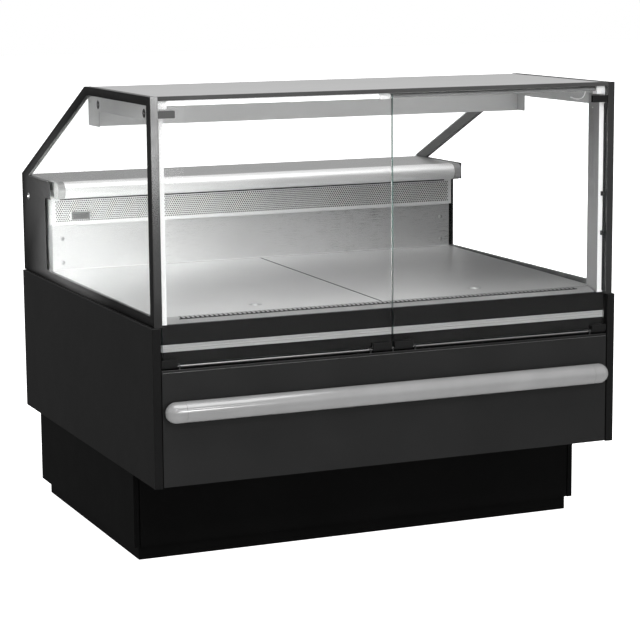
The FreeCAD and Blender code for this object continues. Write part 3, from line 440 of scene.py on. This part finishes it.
CAD_LOOKS = {
    "black": ["front_panel"],
    # the three shaded black coats are painted shade, the same paint made darker
    "black_shaded_side": ["end_panels"],
    "black_shaded_upper": ["upper_front_panel"],
    "black_shaded_base": ["kick_panel", "base_side_panels", "plinth_frame", "rear_vent_panel"],
    "band": ["roof_front_band"],
    "trim_metal": ["front_edge_trims"],
    "spacer": ["side_glass_borders"],
    "post": ["corner_posts"],
    "bracket": ["roof_brackets"],
    "canopy": ["canopy_channel"],
    "steel": ["rear_wall_panel", "rear_body_panel"],
    "grille": ["intake_grille"],
    "worktop": ["worktop"],
    "deck": ["deck_left", "deck_right"],
    "roof": ["roof_panel"],
    "aluminium": ["nose_rail"],
    "strip": ["trim_strip"],
    "dark_metal": ["hinge_profile"],
    "zinc": ["base_tray", "fan_plate", "condenser_fan_shroud"],
    "turned": ["fan_motors"],
    "rod": ["hinge_rod"],
    "bumper": ["bumper_rail", "bumper_end_caps"],
    "cap": ["nose_end_caps"],
    "black_plastic": ["bumper_mounting_base", "hinge_clamps_left", "hinge_clamps_right",
                      "glass_catch_right", "mains_gland", "light_switch", "mains_switch",
                      "switch_housings", "temperature_controller",
                      "evaporator_fan_wheel_left", "evaporator_fan_wheel_right"],
    "dark_plastic": ["glass_catch_left"],
    "grey_plastic": ["down_button", "up_button", "set_button"],
    "white_plastic": ["lamp_holders", "lamp_lead"],
    "front_glass": ["front_glass_left", "front_glass_right"],
    "side_glass": ["side_panes"],
    "foam": ["insulated_tub"],
    "pump": ["compressor"],
    "lamp": ["lamp_tubes"],
    "fins": ["condenser_fan_wheel"],
}
EDGES = {     # mm, where an edge is rounder than the usual 0.4 mm
    "end_panels": 1.6, "front_panel": 1.2, "kick_panel": 1.0, "base_side_panels": 1.2,
    "plinth_frame": 1.5, "worktop": 1.4, "deck_left": 1.0, "deck_right": 1.0,
    "lamp_holders": 1.2, "compressor": 1.5, "hinge_clamps_left": 1.2,
    "hinge_clamps_right": 1.2, "glass_catch_left": 1.0, "glass_catch_right": 1.0,
    "corner_posts": 0.8, "canopy_channel": 0.8, "temperature_controller": 1.2,
}


def soften(obj, width):
    """Joined faces, slightly rounded edges and smooth curves on a CAD node."""
    custom = obj.data.attributes.get("custom_normal")
    if custom:
        obj.data.attributes.remove(custom)
    obj.data.shade_smooth()
    weld = obj.modifiers.new("weld", "WELD")
    weld.merge_threshold = 0.002 * MM
    bevel = obj.modifiers.new("edges", "BEVEL")
    bevel.width = width * MM
    bevel.segments = 2
    bevel.limit_method = "ANGLE"
    bevel.angle_limit = math.radians(32)
    bevel.harden_normals = True
    bevel.use_clamp_overlap = True


def dress_cad():
    for look, names in CAD_LOOKS.items():
        for name in names:
            obj = nodes[name]
            obj.data.materials.clear()
            obj.data.materials.append(M[look])
            soften(obj, EDGES.get(name, 0.4))


place_camera()
light_studio()
dress_cad()


# ---------------------------------------------------------------- mesh building

def piece(name, bm, look, body="case", stands_for=()):
    """A finished mesh that rides on a body, with its material; the CAD nodes it stands for are hidden.
    """
    bmesh.ops.recalc_face_normals(bm, faces=bm.faces[:])
    mesh = bpy.data.meshes.new(name)
    bm.to_mesh(mesh)
    bm.free()
    mesh.materials.append(M[look])
    obj = bpy.data.objects.new(name, mesh)
    scene.collection.objects.link(obj)
    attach(obj, body)
    if stands_for:
        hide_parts(*stands_for)
    return obj


def smooth(obj, angle=35):
    obj.data.shade_smooth()
    obj.data.set_sharp_from_angle(angle=math.radians(angle))
    return obj


def block(bm, x, y, z):
    """A box between three pairs of (low, high)."""
    corners = [bm.verts.new((i, j, k)) for k in z for j in y for i in x]
    for a, b, c, d in ((0, 2, 3, 1), (4, 5, 7, 6), (0, 1, 5, 4), (2, 6, 7, 3), (0, 4, 6, 2),
                       (1, 3, 7, 5)):
        bm.faces.new([corners[i] for i in (a, b, c, d)])


def turned(bm, centre, axis, outline, sides=28):
    """A form of revolution: outline lists (distance along the axis, radius), ends at 0 radius
    or left open."""
    axis = Vector(axis).normalized()
    first = axis.orthogonal().normalized()
    second = axis.cross(first)
    centre = Vector(centre)
    rings = []
    for along, radius in outline:
        middle = centre + axis * along
        if radius == 0:
            rings.append([bm.verts.new(middle)])
            continue
        rings.append([bm.verts.new(middle + radius * (
            first * math.cos(math.tau * i / sides) + second * math.sin(math.tau * i / sides)))
            for i in range(sides)])
    for one, two in zip(rings, rings[1:]):
        for i in range(sides):
            j = (i + 1) % sides
            corners = [one[i % len(one)], one[j % len(one)], two[j % len(two)], two[i % len(two)]]
            bm.faces.new(list(dict.fromkeys(corners)))


def cross_head(bm, centre, axis, radius, height):
    """A pan-head screw with a cross recess, standing on a surface."""
    sides, recess = 32, 4     # recess: which ring of the dome is pulled into a cross
    dome = [(0.0, radius), (0.45 * height, radius), (0.8 * height, 0.82 * radius),
            (height, 0.5 * radius), (height, 0.36 * radius), (0.45 * height, 0.2 * radius),
            (0.3 * height, 0)]
    first = len(bm.verts)
    turned(bm, centre, axis, dome, sides)
    bm.verts.ensure_lookup_table()
    rim = bm.verts[first + recess * sides: first + (recess + 1) * sides]
    centre = Vector(centre) + Vector(axis).normalized() * height
    for number, vert in enumerate(rim):
        arm = abs(math.cos(2 * math.tau * number / sides))
        vert.co = centre + (vert.co - centre) * (0.45 + 0.75 * arm ** 3)


# ---------------------------------------------------------------- printed border

def print_border():
    """The black border printed on the outer faces of the side glass: the outline of the spacer between
    the panes, as a thin skin. Its inner rear edge is pushed 38 mm forward, a black band that stands in
    for the shade behind the glass there."""
    proud, shade_band_width = 0.4 * MM, 38 * MM
    rear_edge = (0.15, 0.30)     # how far the inner rear edge lies from the glass's rear
    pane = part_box("side_panes")[1].x
    spacer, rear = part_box("side_glass_borders")[1].x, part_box("side_glass_borders")[1].y
    bm = bmesh.new()
    bm.from_mesh(nodes["side_glass_borders"].data)
    bmesh.ops.remove_doubles(bm, verts=bm.verts, dist=0.01 * MM)
    for vert in bm.verts:
        inner = abs(vert.co.x) < spacer - 1 * MM
        vert.co.x = math.copysign(pane + (0.05 * MM if inner else proud), vert.co.x)
        # the inner rear edge moves forward: a black band of painted shade
        if rear_edge[0] < rear - vert.co.y < rear_edge[1]:
            vert.co.y -= shade_band_width
    piece("side_glass_print", bm, "border")


print_border()


# ---------------------------------------------------------------- air outlet

def make_outlet():
    """The perforated sheet, its staggered fine holes each in a cell of its own, in one mesh, and a
    ribbed baffle behind it, shaped like an outlet's honeycomb and black as painted shade, so that the
    holes read dark. The sheet stays whole behind the thermometer."""
    low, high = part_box("air_outlet_panel")
    pitch, row, radius = 6.5 * MM, 5.63 * MM, 2.35 * MM
    columns = int((high.x - low.x - 18 * MM) / pitch)
    rows = int((high.z - low.z - 14 * MM) / row)
    start_x = (low.x + high.x - columns * pitch) / 2
    start_z = (low.z + high.z - rows * row) / 2
    bm = bmesh.new()
    made = {}

    def point(x, z):
        key = (round(x * 1e6), round(z * 1e6))
        if key not in made:
            made[key] = bm.verts.new((x, low.y, z))
        return made[key]

    def cell(x, z, open_hole):
        w, h = pitch / 2, row / 2
        rim = [(w, 0), (w, h), (w / 2, h), (0, h), (-w / 2, h), (-w, h), (-w, 0), (-w, -h),
               (-w / 2, -h), (0, -h), (w / 2, -h), (w, -h)]
        outer = [point(x + dx, z + dz) for dx, dz in rim]
        if not open_hole:
            bm.faces.new(outer)
            return
        inner = [bm.verts.new((x + radius * math.cos(math.tau * i / 12), low.y,
                               z + radius * math.sin(math.tau * i / 12))) for i in range(12)]
        for i in range(12):
            j = (i + 1) % 12
            bm.faces.new((outer[i], outer[j], inner[j], inner[i]))

    gauge = (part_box("thermometer")[0] - Vector((3 * MM, 0, 3 * MM)),
             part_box("thermometer")[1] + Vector((3 * MM, 0, 3 * MM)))
    for level in range(rows):
        z = start_z + (level + 0.5) * row
        shift = (level % 2) * pitch / 2
        for column in range(columns - level % 2):
            x = start_x + (column + 0.5) * pitch + shift
            behind = gauge[0].x < x < gauge[1].x and gauge[0].z < z < gauge[1].z
            cell(x, z, not behind)
        if shift:
            for x in (start_x, start_x + columns * pitch - pitch / 2):
                rim = [(0, -row / 2), (pitch / 4, -row / 2), (pitch / 2, -row / 2),
                       (pitch / 2, 0), (pitch / 2, row / 2), (pitch / 4, row / 2), (0, row / 2),
                       (0, 0)]
                bm.faces.new([point(x + dx, z + dz) for dx, dz in rim])
    end_x, end_z = start_x + columns * pitch, start_z + rows * row
    steps = [start_x + pitch / 4 * i for i in range(4 * columns + 1)]
    for edge, inner in ((low.z, start_z), (high.z, end_z)):
        for left, right in zip(steps, steps[1:]):
            bm.faces.new((point(left, edge), point(right, edge), point(right, inner),
                          point(left, inner)))
    heights = [low.z] + [start_z + row / 2 * i for i in range(2 * rows + 1)] + [high.z]
    for edge, inner in ((low.x, start_x), (high.x, end_x)):
        for lower, upper in zip(heights, heights[1:]):
            bm.faces.new((point(edge, lower), point(inner, lower), point(inner, upper),
                          point(edge, upper)))
    sheet = piece("air_outlet_sheet", bm, "outlet", stands_for=["air_outlet_panel"])
    thick = sheet.modifiers.new("thick", "SOLIDIFY")
    thick.thickness = high.y - low.y
    thick.offset = 1 if sheet.data.polygons[0].normal.y > 0 else -1
    # black baffle behind the holes: painted shade for the dark duct behind them
    baffle = bmesh.new()
    ribs = 60
    for number in range(ribs):
        x = low.x + 6 * MM + (high.x - low.x - 12 * MM) * number / (ribs - 1)
        block(baffle, (x - 0.4 * MM, x + 0.4 * MM), (high.y + 1 * MM, high.y + 7 * MM),
              (low.z + 3 * MM, high.z - 3 * MM))
    block(baffle, (low.x + 6 * MM, high.x - 6 * MM), (high.y + 6.5 * MM, high.y + 7.5 * MM),
          (low.z + 3 * MM, high.z - 3 * MM))
    piece("air_outlet_shade_baffle", baffle, "rubber")


make_outlet()


# ---------------------------------------------------------------- screws

WALL_SCREW_ACROSS = 0.605
WALL_SCREW_HEIGHTS = (0.697, 0.766)
BRACKET_SCREW_HEIGHT = 1.180
BRACKET_REAR_SCREW = -0.104
BODY_SCREW_HEIGHTS = (0.26, 0.42, 0.58, 0.74, 0.89)
VENT_SCREW_HEIGHTS = (0.056, 0.225)


def make_screws():
    """Cross-head screws in the wall, the roof brackets and the rear panels, and black pads
    round the brackets' screws."""
    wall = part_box("rear_wall_panel")
    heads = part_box("screws")
    bm = bmesh.new()
    for side in (-1, 1):
        for z in WALL_SCREW_HEIGHTS:
            cross_head(bm, (side * WALL_SCREW_ACROSS, wall[0].y, z), (0, -1, 0), 6 * MM, 2.4 * MM)
    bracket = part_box("roof_brackets")
    inner = bracket[1].x - 2 * MM
    depths = (heads[0].y + 4.5 * MM, BRACKET_REAR_SCREW)
    for side in (-1, 1):
        for depth in depths:
            cross_head(bm, (side * inner, depth, BRACKET_SCREW_HEIGHT), (-side, 0, 0), 6 * MM,
                       2.4 * MM)
    smooth(piece("screw_heads", bm, "turned", stands_for=["screws"]))

    pads = bmesh.new()
    for side in (-1, 1):
        for depth in depths:
            outline = [(0, 3 * MM), (0, 11 * MM), (0.25 * MM, 11.5 * MM), (0.5 * MM, 11 * MM),
                       (0.5 * MM, 3 * MM), (0, 3 * MM)]
            turned(pads, (side * (bracket[1].x + 0.05 * MM), depth, BRACKET_SCREW_HEIGHT),
                   (side, 0, 0), outline)
    smooth(piece("bracket_pads", pads, "rubber"))

    bm = bmesh.new()
    for side in (-1, 1):
        for node, heights in (("rear_body_panel", BODY_SCREW_HEIGHTS),
                              ("rear_vent_panel", VENT_SCREW_HEIGHTS)):
            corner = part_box(node)[1]
            for z in heights:
                cross_head(bm, (side * (corner.x - 12 * MM), corner.y, z), (0, 1, 0), 4 * MM,
                           1.8 * MM)
    smooth(piece("panel_screws", bm, "turned"))


make_screws()


# ---------------------------------------------------------------- thermometer

# A three in seven segments: each bar's column, its level in half heights, and whether it lies.
THREE = ((0, 2, True), (1, 1, False), (0, 1, True), (1, 0, False), (0, 0, True))


def figure(bm, bars, corner, right, out, height):
    """A seven-segment figure as thin bars, from its lower left corner."""
    right, out, over = Vector(right), Vector(out), Vector((0, 0, 1))
    bar, width, proud = height * 0.11, height * 0.5, 0.15 * MM
    for column, level, lies in bars:
        along, across = (right, over) if lies else (over, right)
        base = (Vector(corner) + right * (column * width) + over * (level * height / 2)
                + along * (bar * 0.6))
        length = (width if lies else height / 2) - bar * 1.2
        corners = [base - across * bar / 2, base + along * length - across * bar / 2,
                   base + along * length + across * bar / 2, base + across * bar / 2]
        low = [bm.verts.new(c) for c in corners]
        high = [bm.verts.new(c + out * proud) for c in corners]
        bm.faces.new(high)
        bm.faces.new(low[::-1])
        for i in range(4):
            j = (i + 1) % 4
            bm.faces.new((low[i], low[j], high[j], high[i]))


def framed_window(name, x, z, y_back, y_front, border, look, pane_look):
    """A rounded frame round a sunk window, with its window as a second piece. Gives the frame
    and the depth of the window's face."""
    bm = bmesh.new()
    inner_x, inner_z = (x[0] + border, x[1] - border), (z[0] + border, z[1] - border)
    step = 0.6 * MM if y_front > y_back else -0.6 * MM
    rings = []
    for xs, zs, y in ((x, z, y_back), (x, z, y_front), (inner_x, inner_z, y_front),
                      (inner_x, inner_z, y_front - 1.6 * step)):
        rings.append([bm.verts.new((xs[i], y, zs[k])) for i, k in ((0, 0), (1, 0), (1, 1), (0, 1))])
    for one, two in zip(rings, rings[1:]):
        for i in range(4):
            j = (i + 1) % 4
            bm.faces.new((one[i], one[j], two[j], two[i]))
    bm.faces.new(rings[0][::-1])
    bm.faces.new(rings[-1])
    bmesh.ops.bevel(bm, geom=[e for e in bm.edges if abs(e.verts[0].co.y - y_back) > 1e-6
                              or abs(e.verts[1].co.y - y_back) > 1e-6],
                    offset=0.7 * MM, segments=3, profile=0.5, affect="EDGES", clamp_overlap=True)
    frame_piece = piece(name, bm, look)
    smooth(frame_piece, 50)
    pane = bmesh.new()
    y = y_front - 1.2 * step
    block(pane, (inner_x[0] + 0.2 * MM, inner_x[1] - 0.2 * MM), sorted((y, y - 0.5 * step)),
          (inner_z[0] + 0.2 * MM, inner_z[1] - 0.2 * MM))
    piece(name + "_window", pane, pane_look)
    return frame_piece, y


def make_gauge():
    """The thermometer in the air outlet: a grey window with a dark figure."""
    low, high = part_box("thermometer")
    body, face = framed_window("thermometer_case", (low.x, high.x), (low.z, high.z), high.y, low.y,
                               3 * MM, "lcd_case", "lcd")
    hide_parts("thermometer")
    bm = bmesh.new()
    figure(bm, THREE, ((low.x + high.x) / 2 - 3 * MM, face - 0.05 * MM, low.z + 6.5 * MM),
           (1, 0, 0), (0, -1, 0), 8 * MM)
    piece("thermometer_digit", bm, "lcd_digit")


def make_controller_display():
    """The controller's own display on the staff side, beside its three keys."""
    low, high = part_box("temperature_controller")
    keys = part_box("down_button")
    left, right = keys[1].x + 5 * MM, high.x - 5 * MM
    face = framed_window("controller_display", (left, right),
                         (low.z + 6 * MM, high.z - 6 * MM), high.y, keys[1].y, 1.6 * MM,
                         "dark_plastic", "display")[1]
    bm = bmesh.new()
    figure(bm, THREE, ((left + right) / 2 + 3 * MM, face + 0.05 * MM, low.z + 11 * MM),
           (-1, 0, 0), (0, 1, 0), 12 * MM)
    piece("controller_digit", bm, "digit")


make_gauge()
make_controller_display()


# ---------------------------------------------------------------- seals, beads and small trim

def strips(name, look, spans, round_edge=0.3, body="case"):
    """Plain strips with slightly rounded edges, each between three pairs of (low, high)."""
    bm = bmesh.new()
    for span in spans:
        block(bm, *span)
    made = piece(name, bm, look, body)
    edges = made.modifiers.new("edges", "BEVEL")
    edges.width = round_edge * MM
    edges.segments = 2
    return made


def both_sides(x, y, z):
    """A span on the right and its mirror image on the left."""
    return [((-x[1], -x[0]), y, z), (x, y, z)]


SEAL_TOP = 1.168
STOP_HEIGHTS = (0.818, 0.925)


def make_deck_and_wall_trim():
    """The seal between the decks, a bead along the wall's foot and top, and two black strips that stand
    in for shade: one under the intake slots and one under the nose."""
    wall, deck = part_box("rear_wall_panel"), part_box("deck_left")
    grille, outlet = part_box("intake_grille"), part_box("air_outlet_panel")
    seal = strips("deck_joint_seal", "rubber", [
        ((-0.7 * MM, 2.4 * MM), (deck[0].y + 2 * MM, deck[1].y - 8 * MM),
         (deck[1].z - 1.5 * MM, deck[1].z + 0.3 * MM))], 0.1, body="right_deck")
    for vert in seal.data.vertices:
        vert.co.z -= (deck[1].y - vert.co.y) * math.tan(DECK_SLOPE)
    across = (-wall[1].x + 1 * MM, wall[1].x - 1 * MM)
    strips("wall_beads", "aluminium", [
        (across, (wall[0].y - 2.2 * MM, wall[0].y - 0.1 * MM), (z, z + 2.2 * MM))
        for z in (deck[1].z + 0.3 * MM, wall[1].z - 1.2 * MM)], 0.9)
    # black strip under the slots: painted shade, so the slots read dark
    strips("intake_shade_strip", "rubber", [
        ((grille[0].x + 42 * MM, grille[1].x - 42 * MM),
         (grille[0].y + 18 * MM, grille[1].y - 2.5 * MM),
         (grille[1].z - 4 * MM, grille[1].z - 2 * MM))])
    # black strip under the nose: painted shade for the shadow gap there
    strips("nose_shade_strip", "rubber", [
        ((outlet[0].x + 24 * MM, outlet[1].x - 24 * MM),
         (outlet[0].y - 1.2 * MM, outlet[0].y - 0.05 * MM),
         (outlet[1].z - 7 * MM, outlet[1].z - 0.5 * MM))])


def make_front_trim():
    """A grey metal bead along the front panel's top that stands in for the highlight on its edge, and
    black seals and stops on the corner posts that the front panes close on."""
    panel, glass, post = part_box("front_panel"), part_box("front_glass_right"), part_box("corner_posts")
    # metal bead: a painted highlight along the panel's top edge
    strips("front_panel_highlight_bead", "rod", [
        ((panel[0].x + 2 * MM, panel[1].x - 2 * MM), (panel[0].y - 0.5 * MM, panel[0].y + 0.7 * MM),
         (panel[1].z - 1.6 * MM, panel[1].z - 0.2 * MM))])
    between = (glass[1].y + 0.3 * MM, post[0].y - 0.1 * MM)
    strips("front_glass_seals", "rubber", both_sides(
        (post[1].x - 2.2 * MM, post[1].x + 1.8 * MM), between,
        (post[0].z + 5 * MM, SEAL_TOP)), 0.8)
    strips("front_glass_stops", "rubber", [
        ((post[1].x - 9 * MM, post[1].x - 3 * MM), between, (z - 6 * MM, z + 6 * MM))
        for z in STOP_HEIGHTS], 1.0)


CUP_ACROSS = 0.322
CUP_DEPTH = -0.408


def make_cups():
    """Shallow pull cups in the finger holes of the decks, each on its own deck."""
    for side, sign in (("left", -1), ("right", 1)):
        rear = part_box("deck_" + side)[1]
        top = rear.z - (rear.y - CUP_DEPTH) * math.tan(DECK_SLOPE)
        bm = bmesh.new()
        outline = [(-6.5, 0), (-6.5, 9), (-5, 12), (-1, 13.4), (0.15, 14.2), (0.5, 15.6),
                   (0.1, 17.5)]
        turned(bm, (sign * CUP_ACROSS, CUP_DEPTH, top), (0, 0, 1),
               [(a * MM, r * MM) for a, r in outline], 36)
        cup = smooth(piece("deck_cup_" + side, bm, "grille", body=side + "_deck"), 60)
        thick = cup.modifiers.new("thick", "SOLIDIFY")
        thick.thickness = 0.4 * MM


def make_pane_bolts():
    """A cap bolt through the rear of each glazed end, just under its shoulder."""
    from_rear, height = 68 * MM, 0.875
    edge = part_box("side_panes")[1]
    bm = bmesh.new()
    outline = [(0, 10), (1.2, 9.8), (2.0, 8.4), (2.0, 5.6), (0.6, 5.0), (0.6, 0)]
    for side in (-1, 1):
        turned(bm, (side * (edge.x + 0.4 * MM), edge.y - from_rear, height), (side, 0, 0),
               [(a * MM, r * MM) for a, r in outline])
    smooth(piece("pane_bolts", bm, "turned"))


make_deck_and_wall_trim()
make_front_trim()
make_cups()
make_pane_bolts()


# ---------------------------------------------------------------- heat exchangers

def make_coil(node, fin_step, tube_radius, levels, columns):
    """Thin fins between two end plates, on tubes joined by return bends."""
    low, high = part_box(node)
    fin_half, plate, bend_room = 0.12 * MM, 1.2 * MM, 12 * MM
    reach = bend_room + tube_radius
    left, right = low.x + reach, high.x - reach
    bm = bmesh.new()
    count = int((right - left) / fin_step)
    for number in range(1, count):
        x = left + number * (right - left) / count
        block(bm, (x - fin_half, x + fin_half), (low.y + 1 * MM, high.y - 1 * MM),
              (low.z + 1 * MM, high.z - 1 * MM))
    for x in ((left, left + plate), (right - plate, right)):
        block(bm, x, (low.y, high.y), (low.z, high.z))
    piece(node + "_fins", bm, "fins", stands_for=[node])
    pipes = bmesh.new()
    ys = [low.y + (high.y - low.y) * (i + 0.5) / columns for i in range(columns)]
    zs = [low.z + (high.z - low.z) * (i + 0.5) / levels for i in range(levels)]
    for y in ys:
        for z in zs:
            turned(pipes, (left - 4 * MM, y, z), (1, 0, 0),
                   [(0, 0), (0, tube_radius), (right - left + 8 * MM, tube_radius),
                    (right - left + 8 * MM, 0)], 12)
    for side, x in ((-1, left - 2 * MM), (1, right + 2 * MM)):
        for y in ys:
            first = 0 if side < 0 else 1
            for one, two in zip(zs[first::2], zs[first + 1::2]):
                bend(pipes, (x, y, (one + two) / 2), (two - one) / 2, side, tube_radius,
                     reach - tube_radius - 2 * MM)
    smooth(piece(node + "_tubes", pipes, "copper"))


def bend(bm, centre, radius, side, tube, reach, sides=12, steps=12):
    """A return bend: half a ring, flattened to the reach that there is room for."""
    rings = []
    for step in range(steps + 1):
        turn = math.pi * step / steps - math.pi / 2
        out = Vector((side * reach * math.cos(turn), 0, radius * math.sin(turn)))
        ahead = Vector((-side * reach * math.sin(turn), 0, radius * math.cos(turn))).normalized()
        across = Vector((0, 1, 0))
        over = ahead.cross(across)
        middle = Vector(centre) + out
        rings.append([bm.verts.new(middle + tube * (across * math.cos(math.tau * i / sides)
                                                    + over * math.sin(math.tau * i / sides)))
                      for i in range(sides)])
    for one, two in zip(rings, rings[1:]):
        for i in range(sides):
            j = (i + 1) % sides
            bm.faces.new((one[i], one[j], two[j], two[i]))
    bm.faces.new(rings[0][::-1])
    bm.faces.new(rings[-1])


make_coil("evaporator_coil", 5 * MM, 5 * MM, 4, 6)
make_coil("condenser_coil", 3 * MM, 4 * MM, 6, 2)


# ---------------------------------------------------------------- floor

def lay_floor():
    """A white floor. Seen in a reflection it is dark grey, so that glass and gloss stay clear."""
    s = Shader("studio_floor")
    tone = s.mix(s.spread(s.noise(2.5, detail=4), 0, 1), grey(0.90), grey(0.93))
    shader = s.surface(Base_Color=tone, Roughness=s.spread(s.noise(6, detail=4), 0.45, 0.6),
                       Emission_Color=grey(1.0))
    rays = s.node("ShaderNodeLightPath").outputs
    seen = s.sum(rays["Is Camera Ray"], rays["Is Transmission Ray"])
    s.feed(shader.inputs["Emission Strength"], s.spread(seen, 0.45, 1.1, 0, 1))
    mirrored = rays["Glossy Depth"]
    dark = s.node("ShaderNodeEmission", {"Color": grey(1.0), "Strength": DARK_SURROUND})
    both = s.node("ShaderNodeMixShader", {0: mirrored, 1: shader.outputs[0], 2: dark.outputs[0]})
    s.feed(s.output.inputs["Surface"], both.outputs[0])
    bm = bmesh.new()
    bmesh.ops.create_grid(bm, x_segments=8, y_segments=8, size=30)
    stage("floor", bm, s.material)


def stand_black_card():
    """A black card beside the right pane, seen only in reflections: it keeps the right half
    of the steel inside darker than the left."""
    s = Shader("black_card")
    mirrored = s.node("ShaderNodeLightPath").outputs["Glossy Depth"]
    clear = s.node("ShaderNodeBsdfTransparent")
    black = s.node("ShaderNodeEmission", {"Color": grey(1.0), "Strength": 0.03})
    both = s.node("ShaderNodeMixShader", {0: mirrored, 1: clear.outputs[0], 2: black.outputs[0]})
    s.feed(s.output.inputs["Surface"], both.outputs[0])
    gap, thick, heights = 120 * MM, 2 * MM, (0.3, 1.2)
    near = cad_box[1][0] + gap
    bm = bmesh.new()
    block(bm, (near, near + thick), (cad_box[0][1], cad_box[1][1]), heights)
    card = stage("black_card", bm, s.material)
    card.visible_shadow = False


def stage(name, bm, material):
    """A finished mesh that belongs to the studio and not to the case."""
    mesh = bpy.data.meshes.new(name)
    bm.to_mesh(mesh)
    bm.free()
    mesh.materials.append(material)
    obj = bpy.data.objects.new(name, mesh)
    scene.collection.objects.link(obj)
    return obj


lay_floor()
stand_black_card()
